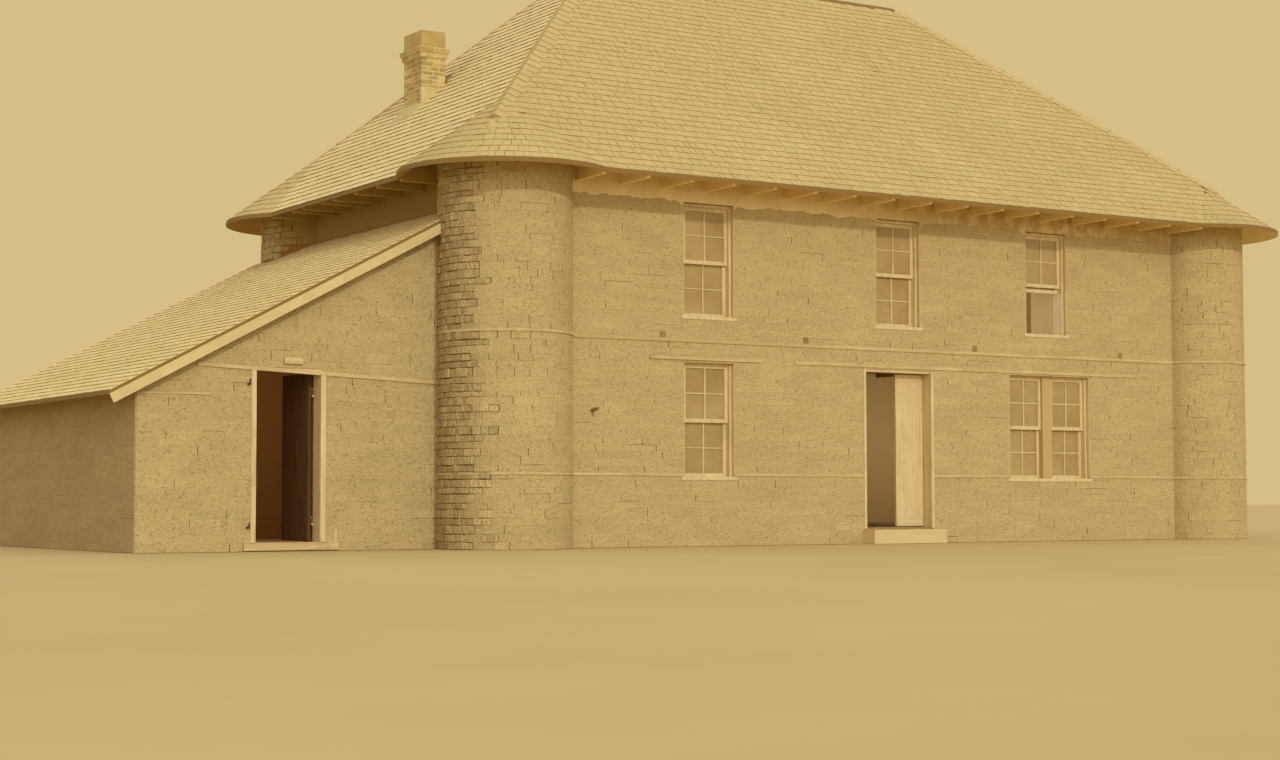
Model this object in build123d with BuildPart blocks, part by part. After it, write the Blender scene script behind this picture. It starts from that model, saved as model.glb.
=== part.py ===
"""Two-storey turf house with round corner drums, a hipped roof and a side lean-to.

Millimetres, +Z up, front wall facing -Y. Each named piece is its own solid.
"""
import os
from math import sqrt

from build123d import *

# Main house, measured from its left front outer corner
house_length = 12750
house_width = 6500
wall_thickness = 750
wall_top = 5000
drum_radius = 830
drum_inset = wall_thickness / 2
seat = 250                     # how far a wall end stands inside its drum's edge line
hollow_floor = 220             # top of the ground floor and the door threshold

# Main roof
eave_reach = 730
roof_slope = 0.934             # rise for each millimetre of run, on the long sides
ridge_left = 3330              # ridge ends, from the left and right outer wall faces
ridge_right = 3830
roof_depth = 45                # upright thickness of boards and shingles together
drum_eave_radius = 1370
drum_clearance = 0.3           # drum top under the round eave
rafter_width = 60
rafter_depth = 205             # upright depth
rafter_count = 17              # on each long wall
end_rafter_count = 7
rafter_stop = 40               # how far a rafter tail stays behind the eave
lookout_drop = 18              # level lookouts under the rafter tails, below the eave's lower edge
lookout_depth = 150
rafter_end = 50                # how far a short rafter stays from its hip
trimmer_gap = 50               # middle of the rafters beside the chimney, from its brickwork
plate_depth = 256
plate_width = 400
plate_inset = 120              # plate behind the outer wall face
birdsmouth = 30                # how deep a rafter sits over its plate
ridge_board_thickness = 40
ridge_board_depth = 200

# Upper floor
beam_size = 85
beam_bottom = 2690
board_thickness = 35
through_beams = (2460, 4750, 7720)
last_beam = 2200               # from the right outer face
beam_end = 15                  # how far a beam stands out of the wall

# Windows: left edge from the house's left face, width, sill height, head height
upper_sill = 2945
upper_head = 4465
lower_sill = 855
lower_head = 2405
upper_windows = ((2790, 790), (5950, 780), (8700, 790))
lower_windows = ((2790, 790), (8360, 1550))
back_windows = (2790, 9170)
back_window_width = 790
raised = 620                   # how far the open lower sash is pushed up
frame_board = 40
frame_depth = 180
frame_setback = 50
sash_bar = 50
sash_depth = 40
sash_setback_depth = 90
glass_thickness = 4
lower_posts = (0, 180)         # post between the halves of a paired window
sill_nose = 45
sill_reach = 20
sill_horn = 40                 # how far a sill runs past each side of its hole

# Front doorway
door_left = 5760
door_right = 6910
door_head = 2350
jamb = 30
jamb_depth = 200
leaf_thickness = 35
leaf_gap = 10
wide_leaf = 650
pin_radius = 8
pin_clearance = 0.05
knuckle_radius = 14
knuckle_height = 60
hinge_rise = 300
strap_length = 180
strap_thickness = 6

# Lean-to at the left gable, x measured from the house's left face towards the left
lean_reach = 4650
lean_wall = 4260
lean_thickness = 550
lean_front = 700
lean_back = house_width
lean_roof_height = 4315        # top of its roof at the house wall
lean_slope = 0.532
lean_roof_depth = 40
rake_reach = 200
rake_board = 130               # upright height
rake_thickness = 30
rake_inset = 15                # lower end of a rake board, behind the eave
lean_door_left = 2800
lean_door_right = 1980
lean_door_sill = 100
lean_door_head = 2150
lean_floor = 60

# Chimney, near left corner of the shaft from the house's left front corner
chimney_x = 820
chimney_y = 3670
chimney_width = 370
chimney_length = 540
chimney_top = 7190
corbel_bottom = 6820
corbel_step = 24
corbel_height = 70

# Boards on the front wall
string_height = 45
string_reach = 25
string_end = 10
upper_string = 2640
lintel_left = 4570
lintel_end = 715               # lintel board's right end, from the right drum
step_reach = 260
step_overhang = 60             # doorstep past each side of the doorway
step_height = 190

# Placing: the box of the whole part is centred on the origin
left = (lean_reach - (house_length - drum_inset + drum_eave_radius)) / 2
right = left + house_length
front = -house_width / 2
back = house_width / 2
inner_left = left + wall_thickness
inner_right = right - wall_thickness
inner_front = front + wall_thickness
inner_back = back - wall_thickness
drum_edge = drum_inset + drum_radius - seat      # wall ends, from the outer corner
roof_half = house_width / 2 + eave_reach
rafter_seat = wall_top + plate_depth - birdsmouth - roof_slope * (eave_reach + plate_inset)
eave_height = rafter_seat + rafter_depth + roof_depth
ridge_height = eave_height + roof_slope * roof_half
end_runs = {-1: ridge_left + eave_reach, 1: ridge_right + eave_reach}
end_slopes = {side: (ridge_height - eave_height) / run for side, run in end_runs.items()}
cone_rise = {side: min(roof_slope, slope) * (eave_reach + drum_inset) for side, slope in end_slopes.items()}
drum_top = {side: eave_height - roof_depth + rise * (1 - drum_radius / drum_eave_radius) - drum_clearance
            for side, rise in cone_rise.items()}
drum_meets_wall = drum_inset + sqrt(drum_radius**2 - drum_inset**2)

os.makedirs("parts", exist_ok=True)


def box(x0, x1, y0, y1, z0, z1, mode=Mode.ADD):
    """Block between two corners."""
    with Locations(((x0 + x1) / 2, (y0 + y1) / 2, z0)):
        Box(x1 - x0, y1 - y0, z1 - z0, align=(Align.CENTER, Align.CENTER, Align.MIN), mode=mode)


def save(piece, name):
    piece.part.label = name
    export_step(piece.part, f"parts/{name}.step")


def lean_line(x):
    """Top of the lean-to roof above x."""
    return lean_roof_height + lean_slope * (x - left)


def lean_prism(x0, x1, y0, y1, drop, depth=None, mode=Mode.ADD):
    """Slab that follows the lean-to roof, its top a given drop below the roof's top."""
    low0, low1 = (0, 0) if depth is None else (lean_line(x0) - drop - depth, lean_line(x1) - drop - depth)
    with BuildSketch(Plane.XZ.offset(-y0)) as profile:
        with BuildLine():
            Polyline((x0, low0), (x1, low1), (x1, lean_line(x1) - drop), (x0, lean_line(x0) - drop),
                     close=True)
        make_face()
    extrude(profile.sketch, amount=-(y1 - y0), mode=mode)


# Corner drums
def corner_drum(name, cx, cy, sx, sy):
    """Round corner of turf, notched for the wall ends and the room's corner.

    sx and sy point from the drum into the house."""
    near_x, near_y = cx - sx * drum_inset, cy - sy * drum_inset
    cut = drum_edge
    reach = 2 * drum_radius
    with BuildPart() as drum:
        with Locations((cx, cy, 0)):
            Cylinder(drum_radius, drum_top[-sx], align=(Align.CENTER, Align.CENTER, Align.MIN))
        for x0, x1, y0, y1 in ((cut, reach, 0, wall_thickness), (0, wall_thickness, cut, reach),
                               (wall_thickness, reach, wall_thickness, reach)):
            xs = sorted((near_x + sx * x0, near_x + sx * x1))
            ys = sorted((near_y + sy * y0, near_y + sy * y1))
            box(*xs, *ys, 0, drum_top[-sx], mode=Mode.SUBTRACT)
        if sx > 0:
            ys = (front + lean_front, front + 2 * drum_radius) if sy > 0 else (back - 2 * drum_radius, back)
            lean_prism(left - drum_radius, left, *ys, 0, mode=Mode.SUBTRACT)
    save(drum, name)


corner_drum("drum_front_left", left + drum_inset, front + drum_inset, 1, 1)
corner_drum("drum_front_right", right - drum_inset, front + drum_inset, -1, 1)
corner_drum("drum_back_left", left + drum_inset, back - drum_inset, 1, -1)
corner_drum("drum_back_right", right - drum_inset, back - drum_inset, -1, -1)


# Main walls
beam_places = (*through_beams, house_length - last_beam)


def cut_windows(windows, sill, head, y0, y1):
    for offset, width in windows:
        box(left + offset, left + offset + width, y0, y1, sill, head, mode=Mode.SUBTRACT)


def cut_beams(y0, y1):
    for offset in beam_places:
        box(left + offset - beam_size / 2, left + offset + beam_size / 2, y0, y1,
            beam_bottom, beam_bottom + beam_size, mode=Mode.SUBTRACT)


def front_piece(name, x0, x1, z0):
    with BuildPart() as wall:
        box(x0, x1, front, inner_front, z0, wall_top)
        cut_windows(upper_windows, upper_sill, upper_head, front, inner_front)
        cut_windows(lower_windows, lower_sill, lower_head, front, inner_front)
        cut_beams(front, inner_front)
    save(wall, name)


hole_left = left + door_left - jamb
hole_right = left + door_right + jamb
front_piece("front_wall_left", left + drum_edge, hole_left, 0)
front_piece("front_wall_over_door", hole_left, hole_right, door_head + jamb)
front_piece("front_wall_right", hole_right, right - drum_edge, 0)

with BuildPart() as back_wall:
    box(left + drum_edge, right - drum_edge, inner_back, back, 0, wall_top)
    back_holes = [(offset, back_window_width) for offset in back_windows]
    cut_windows(back_holes, upper_sill, upper_head, inner_back, back)
    cut_windows(back_holes, lower_sill, lower_head, inner_back, back)
    cut_beams(inner_back, back)
save(back_wall, "back_wall")

with BuildPart() as left_wall:
    box(left, inner_left, front + drum_edge, back - drum_edge, 0, wall_top)
save(left_wall, "left_wall")

with BuildPart() as right_wall:
    box(inner_right, right, front + drum_edge, back - drum_edge, 0, wall_top)
save(right_wall, "right_wall")

# Floors
chimney_left = left + chimney_x
chimney_front = front + chimney_y
with BuildPart() as ground_floor:
    box(inner_left, inner_right, inner_front, inner_back, 0, hollow_floor)
    box(hole_left, hole_right, front, inner_front, 0, hollow_floor)
save(ground_floor, "ground_floor")

with BuildPart() as upper_floor:
    box(inner_left, inner_right, inner_front, inner_back,
        beam_bottom + beam_size, beam_bottom + beam_size + board_thickness)
    for offset in beam_places:
        box(left + offset - beam_size / 2, left + offset + beam_size / 2, front - beam_end, back + beam_end,
            beam_bottom, beam_bottom + beam_size)
    box(chimney_left, chimney_left + chimney_width, chimney_front, chimney_front + chimney_length,
        beam_bottom, beam_bottom + 2 * beam_size, mode=Mode.SUBTRACT)
save(upper_floor, "upper_floor")


# Main roof
def hip_solid(lower):
    """Solid under the four roof slopes, moved down by lower."""
    eave = eave_height - lower
    top = ridge_height - lower
    with BuildPart() as solid:
        with BuildSketch(Plane.YZ.offset(left - eave_reach)):
            with BuildLine():
                Polyline((-roof_half, 0), (roof_half, 0), (roof_half, eave), (0, top), (-roof_half, eave),
                         close=True)
            make_face()
        extrude(amount=house_length + 2 * eave_reach)
        with BuildSketch(Plane.XZ.offset(roof_half)):
            with BuildLine():
                Polyline((left - eave_reach, 0), (right + eave_reach, 0), (right + eave_reach, eave),
                         (right - ridge_right, top), (left + ridge_left, top), (left - eave_reach, eave),
                         close=True)
            make_face()
        extrude(amount=-2 * roof_half, mode=Mode.INTERSECT)
        for sx in (-1, 1):
            for sy in (-1, 1):
                cx = left + drum_inset if sx < 0 else right - drum_inset
                cy = sy * (house_width / 2 - drum_inset)
                apex = eave + cone_rise[sx]
                xs = sorted((cx, cx + sx * roof_half))
                ys = sorted((cy, cy + sy * roof_half))
                box(*xs, *ys, 0, ridge_height, mode=Mode.SUBTRACT)
                with BuildSketch(Plane.XZ.offset(-cy)):
                    with BuildLine():
                        Polyline((cx, 0), (cx + drum_eave_radius, 0), (cx + drum_eave_radius, eave),
                                 (cx, apex), close=True)
                    make_face()
                revolve(axis=Axis((cx, cy, 0), (0, 0, 1)))
    return solid


outer_roof = hip_solid(0)
inner_roof = hip_solid(roof_depth)
with BuildPart() as main_roof:
    add(outer_roof.part)
    add(inner_roof.part, mode=Mode.SUBTRACT)
    box(chimney_left, chimney_left + chimney_width, chimney_front, chimney_front + chimney_length,
        eave_height, ridge_height, mode=Mode.SUBTRACT)
save(main_roof, "main_roof")


lookout_bottom = eave_height - roof_depth - lookout_drop
lookout_top = lookout_bottom + lookout_depth


def rafter(plane, eave, direction, slope, run):
    """One rafter in a plane across its wall, with the level lookout that ties its tail to the wall.

    eave is the eave line's place in that plane, and direction points out of the house."""
    low = eave_height - roof_depth - rafter_depth
    tail, head, face = (eave - direction * distance for distance in (rafter_stop, run, eave_reach))
    leaves_lookout = eave - direction * (lookout_top - low) / slope
    with BuildSketch(plane) as profile:
        with BuildLine():
            Polyline((tail, lookout_bottom), (face, lookout_bottom), (face, lookout_top),
                     (leaves_lookout, lookout_top), (head, low + slope * run),
                     (head, low + slope * run + rafter_depth),
                     (tail, low + slope * rafter_stop + rafter_depth), close=True)
        make_face()
    extrude(profile.sketch, amount=rafter_width / 2, both=True)


def spread(first, last, count):
    return [first + i * (last - first) / (count - 1) for i in range(count)]


def long_rafters(name, direction):
    """Wall plate of a long wall and its rafters, short ones stopping at the hips."""
    outer = house_width / 2 - plate_inset
    ys = sorted((direction * outer, direction * (outer - plate_width)))
    with BuildPart() as frame:
        box(left + drum_edge, right - drum_edge, *ys, wall_top, wall_top + plate_depth)
        start = drum_meets_wall + rafter_width
        for offset in spread(start, house_length - start, rafter_count):
            to_left_hip = (offset + eave_reach) * roof_half / end_runs[-1] - rafter_end
            to_right_hip = (house_length + eave_reach - offset) * roof_half / end_runs[1] - rafter_end
            run = min(to_left_hip, to_right_hip, roof_half - ridge_board_thickness / 2)
            rafter(Plane.YZ.offset(left + offset), direction * roof_half, direction, roof_slope, run)
    save(frame, name)


def end_rafters(name, side):
    """Wall plate of an end wall and its rafters, which all stop at the hips."""
    face = left if side < 0 else right
    xs = sorted((face - side * plate_inset, face - side * (plate_inset + plate_width)))
    rise = end_slopes[side] * (eave_reach + plate_inset)
    plate_top = eave_height - roof_depth - rafter_depth + rise + birdsmouth
    with BuildPart() as frame:
        box(*xs, front + drum_edge, back - drum_edge, wall_top, plate_top)
        start = house_width / 2 - drum_meets_wall - rafter_width
        places = spread(-start, start, end_rafter_count)
        if side < 0:
            trimmers = (chimney_front - trimmer_gap, chimney_front + chimney_length + trimmer_gap)
            places = [y for y in places if not trimmers[0] < y < trimmers[1]] + list(trimmers)
        for y in places:
            run = (roof_half - abs(y)) * end_runs[side] / roof_half - rafter_end - rafter_width
            rafter(Plane.XZ.offset(-y), face + side * eave_reach, side, end_slopes[side], run)
    save(frame, name)


long_rafters("front_rafters", -1)
long_rafters("back_rafters", 1)
end_rafters("left_rafters", -1)
end_rafters("right_rafters", 1)

with BuildPart() as ridge_board:
    ridge_top = ridge_height - roof_depth - roof_slope * ridge_board_thickness / 2
    box(left + ridge_left + rafter_end, right - ridge_right - rafter_end,
        -ridge_board_thickness / 2, ridge_board_thickness / 2, ridge_top - ridge_board_depth, ridge_top)
save(ridge_board, "ridge_board")

# Chimney
with BuildPart() as chimney:
    box(chimney_left, chimney_left + chimney_width, chimney_front, chimney_front + chimney_length,
        hollow_floor, chimney_top)
    for i, out in enumerate((corbel_step, 2 * corbel_step)):
        box(chimney_left - out, chimney_left + chimney_width + out,
            chimney_front - out, chimney_front + chimney_length + out,
            corbel_bottom + i * corbel_height, corbel_bottom + (i + 1) * corbel_height)
save(chimney, "chimney")

# Lean-to
lean_left = left - lean_wall
room_left = lean_left + lean_thickness
lean_front_y = front + lean_front
lean_hole_left = left - lean_door_left - jamb
lean_hole_right = left - lean_door_right + jamb
wall_drop = lean_roof_depth


def lean_front_piece(name, x0, x1, z0):
    with BuildPart() as wall:
        lean_prism(x0, x1, lean_front_y, lean_front_y + lean_thickness, wall_drop)
        if z0 > 0:
            box(x0, x1, lean_front_y, lean_front_y + lean_thickness, 0, z0, mode=Mode.SUBTRACT)
    save(wall, name)


lean_front_piece("lean_to_front_left", lean_left, lean_hole_left, 0)
lean_front_piece("lean_to_front_over_door", lean_hole_left, lean_hole_right, lean_door_head + jamb)
lean_front_piece("lean_to_front_right", lean_hole_right, left, 0)

with BuildPart() as lean_end:
    lean_prism(lean_left, room_left, lean_front_y + lean_thickness, back - lean_thickness, wall_drop)
save(lean_end, "lean_to_end_wall")

with BuildPart() as lean_rear:
    lean_prism(lean_left, left, back - lean_thickness, back, wall_drop)
save(lean_rear, "lean_to_back_wall")

with BuildPart() as lean_floor_piece:
    box(room_left, left, lean_front_y + lean_thickness, back - lean_thickness, 0, lean_floor)
save(lean_floor_piece, "lean_to_floor")

drum_side = left + drum_inset - drum_radius
with BuildPart() as lean_roof:
    lean_prism(left - lean_reach, left, lean_front_y, back, 0, lean_roof_depth)
    lean_prism(left - lean_reach, drum_side, lean_front_y - rake_reach, lean_front_y, 0, lean_roof_depth)
    lean_prism(left - lean_reach, drum_side, back, back + rake_reach, 0, lean_roof_depth)
save(lean_roof, "lean_to_roof")



def rake(name, y0):
    """Board under the edge of the lean-to roof, its lower end cut square."""
    low_end = left - lean_reach + rake_inset
    cut = rake_board * lean_slope / (1 + lean_slope**2)
    top = -lean_roof_depth
    with BuildPart() as board:
        with BuildSketch(Plane.XZ.offset(-y0)) as profile:
            with BuildLine():
                Polyline((low_end, lean_line(low_end) + top),
                         (low_end + cut, lean_line(low_end + cut) + top - rake_board),
                         (drum_side, lean_line(drum_side) + top - rake_board),
                         (drum_side, lean_line(drum_side) + top), close=True)
            make_face()
        extrude(profile.sketch, amount=-rake_thickness)
    save(board, name)


rake("rake_board_front", lean_front_y - rake_reach)
rake("rake_board_back", back + rake_reach - rake_thickness)


# Windows
def window_openings(x0, x1, middle_post):
    """Clear widths between the boards of a frame, one or two."""
    if not middle_post:
        return [(x0 + frame_board, x1 - frame_board)]
    middle = (x0 + x1) / 2
    return [(x0 + frame_board, middle - middle_post / 2), (middle + middle_post / 2, x1 - frame_board)]


def sash_heights(z0, z1, lift):
    """Low and high edge of the upper and the lower sash."""
    low, high = z0 + frame_board, z1 - frame_board
    middle = (low + high) / 2
    return (middle - sash_bar / 2, high), (low + lift, middle + sash_bar / 2 + lift)


def add_frame(x0, x1, z0, z1, openings, face, inward):
    """Box frame and sill nose in the hole of a wall whose outer face is at y = face."""
    ys = sorted((face + inward * frame_setback, face + inward * (frame_setback + frame_depth)))
    box(x0, x1, *ys, z0, z1)
    for a, b in openings:
        box(a, b, *ys, z0 + frame_board, z1 - frame_board, mode=Mode.SUBTRACT)
    nose = sorted((face - inward * sill_reach, face + inward * frame_setback))
    box(x0, x1, *nose, z0, z0 + sill_nose)
    horns = sorted((face - inward * sill_reach, face))
    box(x0 - sill_horn, x1 + sill_horn, *horns, z0, z0 + sill_nose)


def sash_planes(face, inward):
    """Low and high y of the upper sash and of the lower sash behind it."""
    outer = face + inward * sash_setback_depth
    return [sorted((outer, outer + inward * sash_depth)),
            sorted((outer + inward * sash_depth, outer + 2 * inward * sash_depth))]


def add_sashes(openings, heights, planes):
    for (low, high), (y0, y1) in zip(heights, planes):
        for a, b in openings:
            box(a, b, y0, y1, low, high)
            box(a + sash_bar, b - sash_bar, y0, y1, low + sash_bar, high - sash_bar, mode=Mode.SUBTRACT)


def add_panes(openings, heights, planes):
    for (low, high), (y0, y1) in zip(heights, planes):
        y_pane = (y0 + y1 - glass_thickness) / 2
        for a, b in openings:
            box(a + sash_bar, b - sash_bar, y_pane, y_pane + glass_thickness, low + sash_bar, high - sash_bar)


def front_window(name, offset, width, z0, z1, middle_post=0, lift=0):
    """Frame, pair of sashes and panes for one hole of the front wall."""
    x0, x1 = left + offset, left + offset + width
    openings = window_openings(x0, x1, middle_post)
    heights, planes = sash_heights(z0, z1, lift), sash_planes(front, 1)
    with BuildPart() as frame:
        add_frame(x0, x1, z0, z1, openings, front, 1)
    save(frame, f"{name}_frame")
    with BuildPart() as sashes:
        add_sashes(openings, heights, planes)
    save(sashes, f"{name}_sashes")
    with BuildPart() as glass:
        add_panes(openings, heights, planes)
    save(glass, f"{name}_glass")


for i, (offset, width) in enumerate(upper_windows):
    front_window(f"upper_window_{i + 1}", offset, width, upper_sill, upper_head,
                 lift=raised if i == len(upper_windows) - 1 else 0)
for i, (offset, width) in enumerate(lower_windows):
    front_window(f"lower_window_{i + 1}", offset, width, lower_sill, lower_head,
                 middle_post=lower_posts[i])

back_panes = []
for storey, z0, z1 in (("upper", upper_sill, upper_head), ("lower", lower_sill, lower_head)):
    for i, offset in enumerate(back_windows):
        x0, x1 = left + offset, left + offset + back_window_width
        openings = window_openings(x0, x1, 0)
        heights, planes = sash_heights(z0, z1, 0), sash_planes(back, -1)
        with BuildPart() as back_window:
            add_frame(x0, x1, z0, z1, openings, back, -1)
            add_sashes(openings, heights, planes)
        save(back_window, f"back_{storey}_window_{i + 1}")
        back_panes.append((openings, heights, planes))
with BuildPart() as back_glass:
    for openings, heights, planes in back_panes:
        add_panes(openings, heights, planes)
save(back_glass, "back_glass")


# Doors
def door_frame(name, x0, x1, y_face, z0, z1, sides, threshold):
    """Plank lining of a doorway; sides lists the jambs (-1 left, 1 right) that carry pintles."""
    with BuildPart() as lining:
        box(x0 - jamb, x1 + jamb, y_face, y_face + jamb_depth, z0, z1 + jamb)
        box(x0, x1, y_face, y_face + jamb_depth, z0 + threshold, z1, mode=Mode.SUBTRACT)
        for side in sides:
            pin_x = x0 + knuckle_radius if side < 0 else x1 - knuckle_radius
            wall_x = x0 - jamb if side < 0 else x1 + jamb
            pin_y = y_face + jamb_depth + knuckle_radius
            for z in (z0 + hinge_rise, z1 - hinge_rise):
                xs = sorted((wall_x, pin_x))
                box(*xs, y_face + jamb_depth, pin_y + knuckle_radius, z, z + 25)
                with Locations((pin_x, pin_y, z + 25)):
                    Cylinder(knuckle_radius, 1, align=(Align.CENTER, Align.CENTER, Align.MAX))
                    Cylinder(pin_radius, knuckle_height + 15, align=(Align.CENTER, Align.CENTER, Align.MIN))
    save(lining, name)


def door_leaf(name, pin_x, pin_y, side, width, z0, z1, hinge_low, hinge_high, opened):
    """Boarded leaf, modelled closed beside its pins and turned by opened about them."""
    toward = -side
    with BuildPart() as closed:
        xs = sorted((pin_x - toward * (knuckle_radius - 8), pin_x + toward * (width - knuckle_radius)))
        box(*xs, pin_y - knuckle_radius - leaf_thickness, pin_y - knuckle_radius, z0, z1)
        for z in (hinge_low, hinge_high):
            with Locations((pin_x, pin_y, z + 30)):
                Cylinder(knuckle_radius, knuckle_height, align=(Align.CENTER, Align.CENTER, Align.MIN))
            xs = sorted((pin_x, pin_x + toward * strap_length))
            box(*xs, pin_y - knuckle_radius, pin_y - knuckle_radius + strap_thickness,
                z + 30, z + 30 + knuckle_height)
            with Locations((pin_x, pin_y, z + 30)):
                Cylinder(pin_radius + pin_clearance, knuckle_height,
                         align=(Align.CENTER, Align.CENTER, Align.MIN), mode=Mode.SUBTRACT)
    with BuildPart() as leaf:
        add(closed.part.rotate(Axis((pin_x, pin_y, 0), (0, 0, 1)), opened))
    save(leaf, name)


door_frame("front_door_frame", left + door_left, left + door_right, front, hollow_floor, door_head, (-1, 1), 0)
pin_y = front + jamb_depth + knuckle_radius
leaf_low, leaf_high = hollow_floor + leaf_gap, door_head - leaf_gap
hinges = (hollow_floor + hinge_rise, door_head - hinge_rise)
door_leaf("front_door_wide_leaf", left + door_left + knuckle_radius, pin_y, -1, wide_leaf,
          leaf_low, leaf_high, *hinges, 90)
narrow_leaf = door_right - door_left - wide_leaf - leaf_gap
door_leaf("front_door_narrow_leaf", left + door_right - knuckle_radius, pin_y, 1, narrow_leaf,
          leaf_low, leaf_high, *hinges, 0)

door_frame("lean_to_door_frame", left - lean_door_left, left - lean_door_right, lean_front_y, 0,
           lean_door_head, (1,), lean_door_sill)
lean_pin_y = lean_front_y + jamb_depth + knuckle_radius
door_leaf("lean_to_door", left - lean_door_right - knuckle_radius, lean_pin_y, 1,
          lean_door_left - lean_door_right - leaf_gap, lean_door_sill + leaf_gap, lean_door_head - leaf_gap,
          hinge_rise, lean_door_head - hinge_rise, -90)

# Boards on the front wall and the doorstep
with BuildPart() as upper_string_board:
    box(left + drum_meets_wall + string_end, right - drum_meets_wall - string_end, front - string_reach, front,
        upper_string, upper_string + string_height)
save(upper_string_board, "upper_string_board")

with BuildPart() as lintel_board:
    box(left + lintel_left, right - drum_meets_wall - lintel_end, front - string_reach, front,
        lower_head, lower_head + string_height)
save(lintel_board, "lintel_board")

with BuildPart() as doorstep:
    box(left + door_left - step_overhang, left + door_right + step_overhang, front - step_reach, front,
        0, step_height)
save(doorstep, "doorstep")
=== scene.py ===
# %% [markdown]
# # A turf house with round corners
# The CAD model gives us the walls, the roof, the doors and the windows as clean solids.
# Here we dress them: sods on the walls, shingles on the roofs, bricks on the chimney, bars in the
# sashes, and a finish for every surface. Everything is in metres, in the frame of the CAD model.

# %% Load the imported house
import random
from contextlib import contextmanager
from math import asin, atan, cos, degrees, pi, radians, sin, sqrt, tan

import bmesh
import bpy
import numpy as np
from mathutils import Matrix, Vector


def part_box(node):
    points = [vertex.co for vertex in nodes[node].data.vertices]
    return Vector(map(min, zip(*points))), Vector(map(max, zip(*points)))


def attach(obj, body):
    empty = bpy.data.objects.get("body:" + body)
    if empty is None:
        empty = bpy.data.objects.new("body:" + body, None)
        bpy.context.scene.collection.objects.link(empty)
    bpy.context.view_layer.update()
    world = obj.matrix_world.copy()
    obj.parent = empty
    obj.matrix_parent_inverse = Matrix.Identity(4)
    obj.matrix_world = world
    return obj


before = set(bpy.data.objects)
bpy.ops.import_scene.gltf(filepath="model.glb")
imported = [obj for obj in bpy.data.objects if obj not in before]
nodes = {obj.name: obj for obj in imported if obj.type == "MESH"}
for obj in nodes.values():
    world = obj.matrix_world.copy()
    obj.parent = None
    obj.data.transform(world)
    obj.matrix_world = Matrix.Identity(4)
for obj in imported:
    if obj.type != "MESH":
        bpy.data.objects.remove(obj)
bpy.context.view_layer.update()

# %% [markdown]
# ## Where things are
# Nearly every piece is measured from the left front corner of the main house, as a mason would do.
# These faces come from the CAD nodes, so the dressing can't drift away from the walls.

# %% Faces of the house
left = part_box("left_wall")[0].x
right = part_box("right_wall")[1].x
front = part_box("front_wall_left")[0].y
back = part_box("back_wall")[1].y
wall_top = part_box("left_wall")[1].z
house_length, house_width = right - left, back - front
drum_inset = 0.375
drum_radius = left + drum_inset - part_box("drum_front_left")[0].x
lean_front, lean_wall_left = 0.70, -4.26
print("house", round(house_length, 3), "by", round(house_width, 3), "walls", round(wall_top, 3))

# %% [markdown]
# ## Camera
# The camera stands low and well to the left, as in the picture. Its place and lens were worked out
# from the corners of the walls, windows and eaves.

# %% Camera
bpy.ops.object.camera_add()
camera = bpy.context.object
camera.name = "photo_camera"
camera.data.sensor_width = 36
camera.data.lens = 60.39
camera.data.clip_end = 400
camera.matrix_world = (Matrix.Translation((left - 12.449, front - 23.194, 0.568))
                       @ Matrix.Rotation(radians(-32.141), 4, "Z")
                       @ Matrix.Rotation(radians(93.261), 4, "X")
                       @ Matrix.Rotation(radians(-0.122), 4, "Z"))
bpy.context.scene.camera = camera

# %% [markdown]
# ## Floor and light
# A wide pale floor, a lamp from the front like a low sun, a broad one from the left for the bright haze
# near the horizon, which reaches under the eaves, and an even world for the shade.
# The backdrop is only a colour that camera, mirror and glass rays see. Three weak lamps stand inside
# the rooms, so that the open doors and the raised window show brown shade instead of black holes.

# %% Floor
bpy.context.scene.view_settings.view_transform = "Standard"
bpy.ops.object.select_all(action="DESELECT")
bpy.ops.mesh.primitive_circle_add(vertices=64, radius=320, fill_type="NGON", location=(0, 0, -0.004))
floor = bpy.context.object
floor.name = "studio_floor"


# %% Lamps
def lamp(name, kind, place, energy, colour, **settings):
    bpy.ops.object.light_add(type=kind, location=place)
    made = bpy.context.object
    made.name = name
    made.data.energy = energy
    made.data.color = colour
    for setting, value in settings.items():
        setattr(made.data, setting, value)
    return made


def far_lamp(name, place, turn, height, energy, width, colour):
    """A lamp at infinity: its turn from the front, its height and its width are in degrees."""
    turn, height = radians(turn), radians(height)
    towards = Vector((sin(turn), -cos(turn), tan(height)))
    made = lamp(name, "SUN", place, energy, colour, angle=radians(width))
    made.rotation_euler = towards.to_track_quat("Z", "Y").to_euler()


far_lamp("low_sun", (0, -30, 20), -4, 25.5, 0.90, 1.5, (1.0, 0.985, 0.95))
far_lamp("haze_lamp", (-15, -30, 8), -25, 8, 0.74, 50, (1.0, 0.98, 0.94))
for name, place, power in (("lower_room_lamp", (left + 10.5, 0.5, 1.7), 54),
                           ("upper_room_lamp", (left + 7.6, front + 2.6, 3.6), 145),
                           ("lean_to_lamp", (left - 1.3, front + 3.4, 1.9), 60)):
    lamp(name, "POINT", place, power, (1.0, 0.96, 0.84), shadow_soft_size=0.5).visible_camera = False


# %% World
def feed(tree, made, inputs):
    """Gives each input of a node a value, or a link from a socket or from a node's first output."""
    for name, value in inputs.items():
        if isinstance(value, bpy.types.Node):
            value = next(socket for socket in value.outputs if socket.enabled)
        if isinstance(value, bpy.types.NodeSocket):
            tree.links.new(value, made.inputs[name])
        else:
            made.inputs[name].default_value = value


def node(tree, kind, inputs, **settings):
    """A new shader node with its settings and inputs."""
    made = tree.nodes.new("ShaderNode" + kind)
    for setting, value in settings.items():
        setattr(made, setting, value)
    feed(tree, made, inputs)
    return made


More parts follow.
